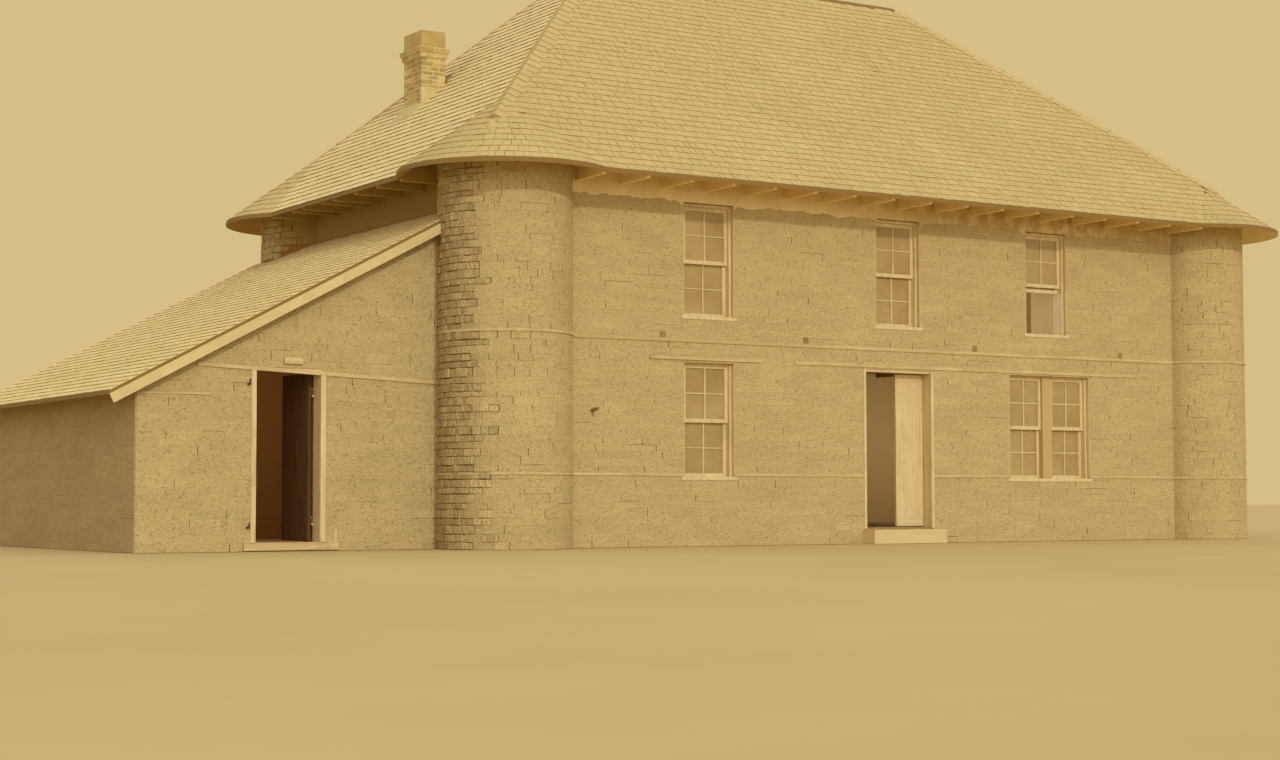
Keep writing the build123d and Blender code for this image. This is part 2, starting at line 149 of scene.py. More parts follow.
world = bpy.data.worlds.new("studio")
bpy.context.scene.world = world
world.use_nodes = True
tree = world.node_tree
tree.nodes.clear()
rays = node(tree, "LightPath", {}).outputs
mirror_too = node(tree, "Math", {0: rays["Is Camera Ray"], 1: rays["Is Glossy Ray"]})
glass_too = node(tree, "Math", {0: mirror_too, 1: rays["Is Transmission Ray"]}, use_clamp=True)
light_side = node(tree, "Background", {"Color": (1.0, 0.985, 0.94, 1), "Strength": 0.79})
seen_side = node(tree, "Background", {"Color": (0.665, 0.521, 0.246, 1)})
chosen = node(tree, "MixShader", {"Fac": glass_too, 1: light_side, 2: seen_side})
node(tree, "OutputWorld", {"Surface": chosen})

# %% [markdown]
# ## Effects shared by the finishes
# Three small node groups do most of the work: patches mixes two colours by a stretched noise, relief
# gives a height for a bump, and tint makes each sod or shingle a little lighter or darker by the
# number stored on it.


# %% Node groups
def srgb(r, g, b):
    """A colour written as 0 to 255, in the linear values that the shader takes."""
    return tuple((c / 255 / 12.92) if c <= 10 else ((c / 255 + 0.055) / 1.055) ** 2.4 for c in (r, g, b)) + (1,)


def new_group(name, inputs, outputs):
    group = bpy.data.node_groups.new(name, "ShaderNodeTree")
    for label, kind, value in inputs:
        socket = group.interface.new_socket(label, in_out="INPUT", socket_type="NodeSocket" + kind)
        if value is not None:
            socket.default_value = value
    for label, kind in outputs:
        group.interface.new_socket(label, in_out="OUTPUT", socket_type="NodeSocket" + kind)
    return group, group.nodes.new("NodeGroupInput").outputs, group.nodes.new("NodeGroupOutput")


def stretched_noise(group, given, scale_name, detail, roughness):
    """Noise on the given coordinates times Stretch."""
    stretch = node(group, "VectorMath", {0: given["Vector"], 1: given["Stretch"]}, operation="MULTIPLY")
    return node(group, "TexNoise", {"Vector": stretch, "Scale": given[scale_name], "Detail": detail,
                                    "Roughness": roughness})


patches, given, result = new_group(
    "patches", [("Vector", "Vector", None), ("Stretch", "Vector", (1, 1, 1)), ("Scale", "Float", 1.0),
                ("Light", "Color", (1, 1, 1, 1)), ("Dark", "Color", (0, 0, 0, 1)), ("Low", "Float", 0.35),
                ("High", "Float", 0.65)],
    [("Color", "Color"), ("Mask", "Float")])
noise = stretched_noise(patches, given, "Scale", 5, 0.6)
spread = node(patches, "MapRange", {"Value": noise, "From Min": given["Low"], "From Max": given["High"]})
mix = node(patches, "Mix", {"Factor": spread, "A": given["Dark"], "B": given["Light"]}, data_type="RGBA")
feed(patches, result, {"Color": mix, "Mask": spread})

relief, given, result = new_group(
    "relief", [("Vector", "Vector", None), ("Stretch", "Vector", (1, 1, 1)), ("Coarse", "Float", 4.0),
               ("Fine", "Float", 30.0), ("Share", "Float", 0.5)], [("Height", "Float")])
coarse = stretched_noise(relief, given, "Coarse", 4, 0.55)
fine = stretched_noise(relief, given, "Fine", 3, 0.6)
feed(relief, result, {"Height": node(relief, "Mix", {"Factor": given["Share"], "A": coarse, "B": fine})})

tint, given, result = new_group(
    "tint", [("Color", "Color", (1, 1, 1, 1)), ("Tone", "Float", 0.5), ("Amount", "Float", 0.4)],
    [("Color", "Color")])
centred = node(tint, "Math", {0: given["Tone"], 1: 0.5}, operation="SUBTRACT")
scaled = node(tint, "Math", {0: centred, 1: given["Amount"], 2: 1.0}, operation="MULTIPLY_ADD")
feed(tint, result, {"Color": node(tint, "VectorMath", {0: given["Color"], "Scale": scaled}, operation="SCALE")})
print("node groups:", [g.name for g in bpy.data.node_groups])


# %% [markdown]
# ## Finishes
# One class lays the groups out for every finish: broad patches for the colour, spots and stains over
# them, an optional tint, and a bump that also varies the roughness.


# %% A class for finishes
class Finish:
    """A material under construction; colour holds what carries the colour so far."""

    def __init__(self, name, roughness, specular=0.3):
        self.material = bpy.data.materials.new(name)
        self.material.use_nodes = True
        self.tree = self.material.node_tree
        self.shader = self.tree.nodes["Principled BSDF"]
        feed(self.tree, self.shader, {"Roughness": roughness, "Specular IOR Level": specular})
        self.place = self.node("TexCoord").outputs["Object"]

    def node(self, kind, inputs=None, **settings):
        return node(self.tree, kind, inputs or {}, **settings)

    def group(self, which, **inputs):
        return self.node("Group", inputs, node_tree=which)

    def patch(self, light, dark, scale, stretch=(1, 1, 1), low=0.35, high=0.65):
        self.colour = self.group(patches, Vector=self.place, Light=light, Dark=dark, Scale=scale,
                                 Stretch=stretch, Low=low, High=high)

    def spots(self, scale, low, high, stretch=(1, 1, 1)):
        """A mask of spots, from a noise between these two values."""
        return self.group(patches, Vector=self.place, Scale=scale, Stretch=stretch, Low=low,
                          High=high).outputs["Mask"]

    def over(self, colour, mask):
        """Lays colour over what is there, where the mask says so."""
        self.colour = self.node("Mix", {"Factor": mask, "A": self.colour, "B": colour}, data_type="RGBA")

    def by_tone(self, amount):
        tone = self.node("Attribute", attribute_name="tone").outputs["Fac"]
        self.colour = self.group(tint, Color=self.colour, Tone=tone, Amount=amount)

    def mask(self, source, low, high):
        """0 where source is at low and 1 where it is at high."""
        return self.node("MapRange", {"Value": source, "From Min": low, "From Max": high})

    def part_of(self, vector, axis):
        return self.node("SeparateXYZ", {0: vector}).outputs[axis]

    def facing(self, axis):
        """One part of the true normal, in the frame of the object, which isn't turned."""
        return self.part_of(self.node("NewGeometry").outputs["True Normal"], axis)

    def both(self, first, second):
        """A mask of what two masks have in common."""
        return self.node("Math", {0: first, 1: second}, operation="MULTIPLY")

    def inside(self, low, high):
        """A mask of the space between two corners, from the object coordinates."""
        made = None
        for axis, (a, b) in zip("XYZ", zip(low, high)):
            at = self.part_of(self.place, axis)
            for edge, sense in ((a, "GREATER_THAN"), (b, "LESS_THAN")):
                test = self.node("Math", {0: at, 1: edge}, operation=sense)
                made = self.both(made, test) if made else test
        return made

    def finish(self, bump_distance, coarse, fine, stretch=(1, 1, 1), share=0.5, strength=0.8, wear=0.12):
        height = self.group(relief, Vector=self.place, Stretch=stretch, Coarse=coarse, Fine=fine, Share=share)
        bump = self.node("Bump", {"Distance": bump_distance, "Strength": strength, "Height": height})
        base = self.shader.inputs["Roughness"].default_value
        rough = self.node("MapRange", {"Value": height, "To Min": base - wear, "To Max": min(1.0, base + wear)})
        feed(self.tree, self.shader, {"Normal": bump, "Base Color": self.colour, "Roughness": rough})
        return self.material


# %% [markdown]
# ### Turf
# Cut sods dry to a pale brown, with small darker and paler spots. The wall behind them is dark where it
# shows in the joints, and pale where it is plastered, in the reveals and the rooms.

# %% Turf, joints and plaster
work = Finish("sod", 0.95, 0.15)
work.patch(srgb(212, 186, 128), srgb(200, 174, 116), 0.9, (1, 1, 2.2), 0.3, 0.7)
work.over(srgb(164, 134, 77), work.spots(26.0, 0.54, 0.70, (1, 1, 1.3)))
work.over(srgb(222, 197, 142), work.spots(58.0, 0.48, 0.68, (1, 1, 1.3)))
work.by_tone(0.09)
# Painted shade: sod faces that turn to the left, away from the light, are laid darker.
work.over(srgb(140, 110, 60), work.mask(work.facing("X"), -0.70, -1.60))
# Painted shade: the sods of the left wall under its eave, above the lean-to roof, are darker.
work.over(srgb(174, 140, 80), work.inside((left - 0.4, front + 0.9, 3.6), (left + 0.3, back + 0.3, 5)))
sod_material = work.finish(0.045, 12, 48, (1, 1, 1.6), 0.5, 1.0, 0.04)

work = Finish("turf_joint", 0.97, 0.1)
work.patch(srgb(150, 119, 66), srgb(118, 88, 44), 7.0, (1, 1, 2))
inner_face = 0.749  # just inside the 0.75 m walls
work.over(srgb(206, 176, 118), work.inside((left + inner_face, front + inner_face, 0.1),
                                           (right - inner_face, back - inner_face, 6)))
work.over(srgb(150, 104, 50), work.inside((left + lean_wall_left + 0.5, front + lean_front + 0.5, 0),
                                          (left + 0.2, back - 0.5, 4.3)))
for x0, x1 in ((left + 1, right - 1), (left - 3, left - 1.8)):
    reveals = work.inside((x0, front - 0.1, 0), (x1, back + 0.1, 5))
    for low, high in ((-0.5, -0.9), (0.5, 0.9)):
        work.over(srgb(224, 198, 142), work.both(work.mask(work.facing("X"), low, high), reveals))
turf_material = work.finish(0.02, 10, 60, (1, 1, 2), 0.5, 0.9, 0.03)

work = Finish("mud_plaster", 0.9, 0.2)
work.patch(srgb(236, 213, 160), srgb(226, 201, 146), 2.2)
work.over(srgb(186, 155, 98), work.spots(14.0, 0.6, 0.85))
far = work.mask(work.part_of(work.place, "X"), left + 5.0, left + 7.5)
work.over(srgb(192, 163, 106), work.both(work.spots(5.0, 0.30, 0.55), far))
plaster_material = work.finish(0.012, 6, 40, share=0.4, wear=0.05)

# %% [markdown]
# ### Timber
# Grain is a noise stretched along the board. Shingles are split along their length, bleached on top
# and dark at the butt, partly from damp and partly as painted shade under each course; the butt is found by
# its normal, which points downwards.


# %% Shingles and boards
def shingles(name, light, dark, streaks, butt):
    work = Finish(name, 0.85, 0.25)
    work.patch(light, dark, 0.8, (1, 1, 1), 0.3, 0.7)
    work.over(streaks, work.spots(26.0, 0.52, 0.85, (1, 1, 0.35)))
    work.by_tone(0.10)
    # Painted shade, in part: butt faces, whose normals point down, take the darker butt colour.
    work.over(butt, work.mask(work.facing("Z"), 0.05, -0.15))
    return work.finish(0.006, 18, 90, (1, 1, 0.4), 0.5, 0.6, 0.06)


shingle_material = shingles("shingle", srgb(203, 178, 120), srgb(194, 168, 110), srgb(178, 150, 92),
                            srgb(184, 156, 98))
# Painted light: a paler copy of the shingle for the left slope; its very dark butts are painted shade.
painted_light_left_shingle = shingles("left_slope_shingle_painted_light", srgb(234, 211, 149), srgb(225, 199, 136), srgb(206, 178, 116),
                        srgb(112, 84, 42))
# Painted light: a paler copy of the shingle for the lean-to roof, which gets less light.
painted_light_lean_to_shingle = shingles("lean_to_shingle", srgb(232, 209, 146), srgb(223, 197, 133), srgb(212, 184, 122),
                        srgb(178, 150, 94))


def timber(name, light, dark, along, roughness=0.8, grain=0.006, specular=0.3, stain=None):
    """Sawn timber with its grain along an axis; stain(work) gives another colour and its mask."""
    stretch = [22.0, 22.0, 22.0]
    stretch["XYZ".index(along)] = 1.4
    work = Finish(name, roughness, specular)
    work.patch(light, dark, 1.0, tuple(stretch), 0.32, 0.72)
    if stain:
        work.over(*stain(work))
    else:
        work.over(tuple(0.84 * c for c in dark[:3]) + (1,), work.spots(3.0, 0.55, 0.85))
    return work.finish(grain, 1.0, 4.0, tuple(stretch), 0.5, 0.5, 0.08)


white = (srgb(226, 203, 152), srgb(203, 177, 122))
bleached = (srgb(216, 191, 138), srgb(186, 157, 101))
brown = (srgb(172, 140, 82), srgb(134, 102, 50))
white_upright = timber("white_upright", *white, "Z", 0.55, 0.003, 0.4)
white_level = timber("white_level", *white, "X", 0.55, 0.003, 0.4)
bleached_level = timber("bleached_level", *bleached, "X")
bare_level = timber("bare_level", *brown, "X")
bare_across = timber("bare_across", *brown, "Y")
# Painted light: rafter timber under the front, back and right eaves is far paler than bare timber.
eave_level_painted_light = timber("eave_level_painted_light", srgb(240, 216, 160), srgb(228, 202, 146), "X")
# Painted shade: the rafters under the left eave get a darker copy of the pale eave timber.
left_rafter_painted_shade = timber("left_rafter_painted_shade", srgb(192, 158, 96), srgb(176, 142, 80), "X")
# Painted light: the same pale copy, with its grain across the house.
eave_across_painted_light = timber("eave_across_painted_light", srgb(244, 222, 170), srgb(234, 210, 156), "Y")
muddy_board = timber("muddy_board", *bleached, "X", stain=lambda work: (
    srgb(190, 163, 108), work.mask(work.part_of(work.place, "X"), left + 4.9, left + 4.4)))
pair_frame = timber("pair_frame", *white, "Z", 0.6, 0.003, stain=lambda work: (
    srgb(190, 162, 104), work.inside((left + 9.035, front, 0), (left + 9.235, front + 0.2, 3))))

work = Finish("pale_board", 0.75)
work.patch(srgb(218, 194, 138), srgb(205, 180, 124), 3.0)
pale_board = work.finish(0.004, 6, 40, share=0.5, wear=0.05)

work = Finish("step_board", 0.8)
work.patch(srgb(214, 190, 136), srgb(205, 180, 126), 1.0, (1.4, 12, 12))
step_board = work.finish(0.006, 1.0, 4.0, (1.4, 22, 22), 0.5, 0.5, 0.08)

work = Finish("lean_to_leaf_timber_painted_shade", 0.85, 0.2)
# Old bare timber, made darker than the other bare boards as painted shade inside the lean-to.
work.patch(srgb(112, 80, 40), srgb(84, 56, 24), 1.0, (22, 22, 1.4), 0.32, 0.72)
lean_to_leaf_painted_shade = work.finish(0.004, 1.0, 4.0, (22, 22, 1.4), 0.5, 0.5, 0.06)

work = Finish("roof_boards_painted_light_and_shade", 0.85, 0.2)
# Painted light: the underside of the deck is far paler than bare boards, for the light under the eaves.
work.patch(srgb(246, 225, 174), srgb(236, 213, 160), 1.0, (3, 3, 22), 0.32, 0.72)
# Painted shade: the deck under the left eave is darker.
work.over(srgb(186, 152, 88), work.mask(work.part_of(work.place, "X"), left + 1.1, left + 0.8))
# Painted shade: edges and top, whose normals don't point down, are dark, so the eave's edge reads as shade.
work.over(srgb(140, 108, 56), work.mask(work.facing("Z"), -0.4, -0.1))
deck_painted_light_and_shade = work.finish(0.008, 2, 8, (3, 3, 22), 0.5, 0.6, 0.06)

# %% [markdown]
# ### Brick, iron, glass and the floor
# The chimney's mortar, its smears and its cap are one finish in three tones. The glass is dull and
# nearly opaque, with a pale tan colour that is painted reflection of daylight on old panes in full sun.


# %% The other finishes
def mortar(name, light, dark, roughness=0.95, scale=6.0):
    work = Finish(name, roughness, 0.15)
    work.patch(light, dark, scale)
    return work.finish(0.01, 12, 60, share=0.5, wear=0.04)


mortar_material = mortar("mortar", srgb(234, 214, 164), srgb(222, 200, 146))
smeared_mortar = mortar("smeared_mortar", srgb(210, 189, 134), srgb(197, 174, 119))
sooty_render = mortar("sooty_render", srgb(190, 164, 102), srgb(174, 147, 86), 0.92, 4.0)

work = Finish("brick", 0.9, 0.2)
work.patch(srgb(200, 175, 112), srgb(170, 143, 84), 5.0)
work.by_tone(0.50)
brick_material = work.finish(0.008, 20, 90, share=0.5, wear=0.05)

work = Finish("iron", 0.55, 0.5)
work.patch(srgb(96, 72, 44), srgb(52, 38, 24), 20.0)
work.shader.inputs["Metallic"].default_value = 0.7
iron_material = work.finish(0.002, 30, 120, share=0.5, wear=0.1)

work = Finish("old_glass_painted_reflection", 0.14, 0.6)
# Painted reflection: the pale tan colour and low transparency stand in for daylight on the panes.
work.patch(srgb(196, 168, 112), srgb(172, 142, 86), 1.2, (1, 1, 1.5), 0.35, 0.7)
work.shader.inputs["Alpha"].default_value = 0.82
glass_painted_reflection = work.finish(0.004, 2, 6, share=0.3, strength=0.35, wear=0.05)

work = Finish("pale_floor", 0.95, 0.1)
work.patch(srgb(208, 181, 124), srgb(200, 173, 116), 0.15)
floor.data.materials.append(work.finish(0.01, 1, 5, share=0.5, strength=0.1, wear=0.02))

# %% [markdown]
# ## Stock pieces
# Sods, shingles, bricks and boards repeat by the hundred. Each is modelled once in edit mode with a few
# dozen faces, and then laid many times on a surface. The stock is kept as plain arrays: its length and
# height run from 0 to 1, and its depth stays in metres.


# %% Helpers for edit mode
def only(obj):
    bpy.ops.object.select_all(action="DESELECT")
    obj.select_set(True)
    bpy.context.view_layer.objects.active = obj


@contextmanager
def edit_mode():
    bpy.ops.object.mode_set(mode="EDIT")
    yield
    bpy.ops.object.mode_set(mode="OBJECT")


def block(name, low, high):
    """A block between two corners, with its place in its mesh."""
    bpy.ops.object.select_all(action="DESELECT")
    middle = [(a + b) / 2 for a, b in zip(low, high)]
    bpy.ops.mesh.primitive_cube_add(size=1, location=middle, scale=[b - a for a, b in zip(low, high)])
    obj = bpy.context.object
    obj.name = name
    bpy.ops.object.transform_apply(location=True, rotation=True, scale=True)
    return obj


def select_faces(obj, test):
    """In edit mode: selects the faces whose centre and normal pass the test."""
    bpy.ops.mesh.select_mode(type="FACE")
    bpy.ops.mesh.select_all(action="DESELECT")
    mesh = bmesh.from_edit_mesh(obj.data)
    for face in mesh.faces:
        face.select_set(test(face.calc_center_median(), face.normal))
    mesh.select_flush_mode()
    bmesh.update_edit_mesh(obj.data)


def bevel_all(offset, segments=1):
    """In edit mode: bevels every edge, and leaves everything selected."""
    bpy.ops.mesh.select_all(action="SELECT")
    bpy.ops.mesh.bevel(offset=offset, segments=segments, affect="EDGES")
    bpy.ops.mesh.select_all(action="SELECT")


def cut_across(axis, places):
    """In edit mode: cuts new edges round the mesh at these places along an axis."""
    normal = [1.0 if a == axis else 0.0 for a in range(3)]
    for place in places:
        bpy.ops.mesh.select_all(action="SELECT")
        point = [place if a == axis else 0.0 for a in range(3)]
        bpy.ops.mesh.bisect(plane_co=point, plane_no=normal)


def as_stock(obj, keep_depth=True):
    """Turns a modelled object into arrays and removes it."""
    mesh = obj.data
    points = np.array([v.co for v in mesh.vertices], float)
    low, high = points.min(0), points.max(0)
    for axis in (0, 2):
        points[:, axis] = (points[:, axis] - low[axis]) / (high[axis] - low[axis])
    if not keep_depth:
        points[:, 1] = (points[:, 1] - low[1]) / (high[1] - low[1])
    faces = [list(p.vertices) for p in mesh.polygons]
    bpy.data.objects.remove(obj)
    return points, faces


# %% [markdown]
# The laying itself is one function. A surface is a function that turns distance along, depth out of
# the face and height into points, so the same sods go on a flat wall or round a drum. A piece is
# (stock, start, end, low, high, out, tone) with an optional start and end for its upper edge.


# %% Laying copies on a surface
TO_LEFT, TO_RIGHT, TO_FRONT, TO_BACK, UP = (-1, 0, 0), (1, 0, 0), (0, -1, 0), (0, 1, 0), (0, 0, 1)


def flat_face(origin, along, out, up=UP):
    """A plane through the origin given, with its directions along, out and up."""
    origin, along, out, up = (np.array(v, float) for v in (origin, along, out, up))
    return lambda s, d, u: origin + np.outer(s, along) + np.outer(d, out) + np.outer(u, up)


def drum_face(cx, cy):
    """The skin of a drum; the distance along is measured round it, from the direction of X."""
    def surface(s, d, u):
        turn, reach = s / drum_radius, drum_radius + d
        return np.column_stack((cx + reach * np.cos(turn), cy + reach * np.sin(turn), u))
    return surface


def is_turned(surface, s, u):
    """True if the surface mirrors what is laid on it, so that faces have to be turned back."""
    step = 1e-3
    at = surface(np.array([s, s + step, s, s]), np.array([0, 0, step, 0.0]),
                 np.array([u, u, u, u + step]))
    return float(np.dot(np.cross(at[1] - at[0], at[2] - at[0]), at[3] - at[0])) < 0


def lay(name, stocks, pieces, surface, material, body="house", thick=1.0):
    """Joins copies of the stock pieces, laid on the surface, into one mesh that rides on a body."""
    points, corners, starts, tones = [], [], [], []
    count = placed = 0
    turned = is_turned(surface, pieces[0][1], pieces[0][3])
    for stock, s0, s1, u0, u1, out, tone, *upper in pieces:
        shape, faces = stocks[stock]
        t0, t1 = upper if upper else (s0, s1)
        x, z = shape[:, 0], shape[:, 2]
        s = (s0 + (t0 - s0) * z) * (1 - x) + (s1 + (t1 - s1) * z) * x
        points.append(surface(s, out + shape[:, 1] * thick, u0 + (u1 - u0) * z))
        for face in faces:
            starts.append(count)
            count += len(face)
            corners.extend(placed + v for v in (reversed(face) if turned else face))
        placed += len(shape)
        tones.append(np.full(len(shape), tone))
    mesh = bpy.data.meshes.new(name)
    mesh.vertices.add(placed)
    mesh.vertices.foreach_set("co", np.concatenate(points).astype(np.float32).ravel())
    mesh.loops.add(count)
    mesh.loops.foreach_set("vertex_index", corners)
    mesh.polygons.add(len(starts))
    mesh.polygons.foreach_set("loop_start", starts)
    mesh.update(calc_edges=True)
    mesh.validate()
    stored = mesh.attributes.new("tone", "FLOAT", "POINT").data
    stored.foreach_set("value", np.concatenate(tones).astype(np.float32))
    mesh.shade_flat()
    mesh.materials.append(material)
    obj = bpy.data.objects.new(name, mesh)
    bpy.context.scene.collection.objects.link(obj)
    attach(obj, body)
    print(name, len(pieces), "copies,", sum(len(p.vertices) - 2 for p in mesh.polygons), "triangles")
    return obj


# %% [markdown]
# ### The sods
# A sod is a slab of turf about 400 mm long and 95 mm high. Five are cut clean and almost flat; five
# more have worn edges and an uneven face. No two neighbours have the same size.


# %% Model the sods
def model_sod(seed, worn, uneven):
    obj = block("sod", (0, -0.035, 0), (0.40, 0.0, 0.095))
    with edit_mode():
        select_faces(obj, lambda c, n: n.y > 0.9)
        if worn:
            bpy.ops.mesh.bevel(offset=worn, segments=1, affect="EDGES")
        cut_across(0, (0.12 + 0.01 * seed, 0.27 - 0.012 * seed))
        select_faces(obj, lambda c, n: n.y > 0.3)
        bpy.ops.transform.vertex_random(offset=uneven, seed=seed)
    return as_stock(obj)


smooth_sods = [model_sod(seed, 0, 0.0005) for seed in range(1, 6)]
sod_stocks = smooth_sods + [model_sod(seed, 0.008, 0.006) for seed in range(1, 6)]
print("one sod has", len(sod_stocks[0][1]), "faces")


# %% Courses of sods
def even_courses(levels, height, rng):
    """Course lines between fixed levels, such as sills and heads, about one sod apart."""
    rows = []
    for low, high in zip(levels, levels[1:]):
        count = max(1, round((high - low) / height))
        cuts = [low + (high - low) * (i + rng.uniform(-0.16, 0.16) * (0 < i < count)) / count
                for i in range(count + 1)]
        rows += list(zip(cuts, cuts[1:]))
    return rows


def free_runs(span, holes, low, high):
    """What is left of a span where a row meets none of the holes (start, end, low, high)."""
    runs = [span]
    for a, b, c, d in holes:
        if min(d, high) - max(c, low) > 0.4 * (high - low):
            cut = []
            for start, end in runs:
                cut += [(start, min(end, a)), (max(start, b), end)]
            runs = [(start, end) for start, end in cut if end - start > 0.04]
    return runs


def sods_on(rows, span, holes, rng, length=(0.26, 0.56), out=(0.010, 0.012), joint=0.16, keep=None, edge=None):
    """Pieces that fill the rows of a wall. edge(z) moves the start of the span, as under a slope."""
    pieces = []
    for low, high in rows:
        for start, end in free_runs(span, holes, low, high):
            s = start
            while s < end - 0.03:
                e = s + rng.uniform(*length)
                if end - e < 0.14:
                    e = end
                gap = rng.uniform(0.003, 0.011) if rng.random() < joint else 0
                bed = rng.uniform(0.002, 0.005) if rng.random() < 0.15 * joint else 0
                top = high - bed
                a, b = s, e - (gap if e < end else 0)
                piece = [rng.randrange(len(smooth_sods)), a, b, low, top, rng.uniform(*out), rng.random()]
                if edge:
                    lows, tops = edge(low), edge(top)
                    if b <= lows:
                        s = e
                        continue
                    piece[1] = max(a, lows)
                    piece += [max(a, tops), max(b, tops + 0.01)]
                if keep is None or keep((a + b) / 2, (low + high) / 2):
                    pieces.append(tuple(piece))
                s = e
    return pieces


# %% [markdown]
# ## Walls
# The sill and head lines of the windows fix the courses, so no sod hangs over an opening. The drums
# are laid with shorter sods, because they have to turn. On the left drums, the side that faces left
# has weathered into lumps.

# %% Sods on the main walls
rng = random.Random(1885)
low_sill, low_head, door_head = 0.855, 2.405, 2.38
high_sill, high_head = 2.945, 4.465
upper_holes = [(a, b, high_sill, high_head) for a, b in ((2.79, 3.58), (5.95, 6.73), (8.70, 9.49))]
lower_holes = [(a, b, low_sill, low_head) for a, b in ((2.79, 3.58), (8.36, 9.91))]
front_door_hole = (5.73, 6.94, 0.0, door_head)
back_holes = [(s, s + 0.79, low, high) for s in (2.79, 9.17)
              for low, high in ((low_sill, low_head), (high_sill, high_head))]
drum_foot = drum_inset + sqrt(drum_radius ** 2 - drum_inset ** 2) - 0.03
long_span, short_span = (drum_foot, house_length - drum_foot), (drum_foot, house_width - drum_foot)
front_face = flat_face((left, front, 0), TO_RIGHT, TO_FRONT)
back_face = flat_face((left, back, 0), TO_RIGHT, TO_BACK)
left_face = flat_face((left, front, 0), TO_BACK, TO_LEFT)
right_face = flat_face((right, front, 0), TO_BACK, TO_RIGHT)
rows = even_courses((0.0, low_sill, door_head, high_sill, high_head, wall_top), 0.092, rng)
lean_top, lean_slope = 4.315, 0.532
above_lean = [row for row in rows if row[0] > lean_top - 0.1]
for side, surface, seen_rows, span, holes in (
        ("front", front_face, rows, long_span, upper_holes + lower_holes + [front_door_hole]),
        ("back", back_face, rows, long_span, back_holes),
        ("right", right_face, rows, short_span, []),
        ("left", left_face, above_lean, short_span, [])):
    lay(side + "_wall_sods", sod_stocks, sods_on(seen_rows, span, holes, rng), surface, sod_material)


# %% Sods on the drums
def lean_roof_at(x):
    """Height of the lean-to roof above x, measured from the left face of the house."""
    return lean_top + lean_slope * x


def drum_centre(sx, sy):
    """Centre of the drum at the corner with these outward signs in X and Y."""
    return (left + drum_inset if sx < 0 else right - drum_inset,
            front + drum_inset if sy < 0 else back - drum_inset)


def drum_sods(name, cx, cy, first, last, under_lean):
    """Sods between two angles in degrees, except where the lean-to covers the drum."""
    def clear(s, z):
        x, y = cx + drum_radius * cos(s / drum_radius), cy + drum_radius * sin(s / drum_radius)
        covered = x < left and front + lean_front < y < back
        return not (under_lean and covered and z < lean_roof_at(x - left) + 0.02)
    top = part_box(name)[1].z
    drum_rows = even_courses((0.0, low_sill, door_head, high_sill, top - 0.01), 0.092, rng)
    span = (drum_radius * radians(first), drum_radius * radians(last))
    laid = sods_on(drum_rows, span, [], rng, (0.16, 0.38), (0.010, 0.0125), 0.50, clear)
    pieces = []
    for stock, s0, s1, u0, u1, out, tone in laid:
        rough = -cos((s0 + s1) / 2 / drum_radius)
        if not under_lean or rough < rng.uniform(0.60, 0.95):
            pieces.append((stock, s0, s1, u0, u1, out, tone))
            continue
        cuts = [s0, s0 + (s1 - s0) * rng.uniform(0.25, 0.45), s0 + (s1 - s0) * rng.uniform(0.6, 0.8), s1]
        for a, b in zip(cuts, cuts[1:]):
            pieces.append((stock + len(smooth_sods), a, b - rng.uniform(0, 0.008), u0,
                           u1 - rng.uniform(0, 0.010), out + rng.uniform(-0.001, 0.020),
                           tone - rng.uniform(-1.6, 2.4)))
    lay(name + "_sods", sod_stocks, pieces, drum_face(cx, cy), sod_material)


foot_angle = degrees(asin(drum_inset / drum_radius)) - 1.5
corners = {"front_left": (-1, -1), "front_right": (1, -1), "back_left": (-1, 1), "back_right": (1, 1)}
for (corner, (sx, sy)), turn in zip(corners.items(), (90, 180, 0, -90)):
    drum_sods("drum_" + corner, *drum_centre(sx, sy), turn + foot_angle, turn + 270 - foot_angle, sx < 0)

# %% [markdown]
# The lean-to walls end under a slope, so the sod at the left end of each row is cut along it.

# %% Sods on the lean-to
lean_front_face = flat_face((left, front + lean_front, 0), TO_RIGHT, TO_FRONT)
lean_back_face = flat_face((left, back, 0), TO_RIGHT, TO_BACK)
lean_end_face = flat_face((left + lean_wall_left, front, 0), TO_BACK, TO_LEFT)


def under_slope(z):
    """Where a row at height z starts, so that it stays under the lean-to roof."""
    return max(lean_wall_left, (z + 0.05 - lean_top) / lean_slope)


def lean_to_sods(side, rows, span, holes, surface, edge=None):
    pieces = sods_on(rows, span, holes, rng, (0.24, 0.5), (0.010, 0.0125), 0.24, edge=edge)
    lay(f"lean_to_{side}_sods", sod_stocks, pieces, surface, sod_material)


lean_span = (lean_wall_left, -0.30)
lean_door_hole = (-2.83, -1.95, 0.0, 2.18)
lean_rows = even_courses((0.0, 0.10, 2.18, 4.22), 0.096, rng)
lean_to_sods("front", lean_rows, lean_span, [lean_door_hole], lean_front_face, under_slope)
lean_to_sods("back", lean_rows, lean_span, [], lean_back_face, under_slope)
lean_to_sods("end", even_courses((0.0, 2.0), 0.096, rng), (lean_front, house_width), [], lean_end_face)

# %% [markdown]
# ## Shingles
# A sawn shingle is a thin wedge, thick at the butt. Only the part that shows, and a little under the
# next course, is modelled. Its thin end dips into the roof solid and its butt stands about 10 mm
# proud, so every course throws its own line.


# %% Model three shingles
def model_shingle(seed):
    obj = block("shingle", (0, -0.012, 0), (0.13, 0.011, 0.17))
    with edit_mode():
        select_faces(obj, lambda c, n: n.z > 0.9)
        bpy.ops.transform.translate(value=(0, -0.013, 0))
        select_faces(obj, lambda c, n: n.z < -0.9)
        bpy.ops.transform.vertex_random(offset=0.002, seed=seed)
    return as_stock(obj)


shingle_stocks = [model_shingle(seed) for seed in range(1, 4)]

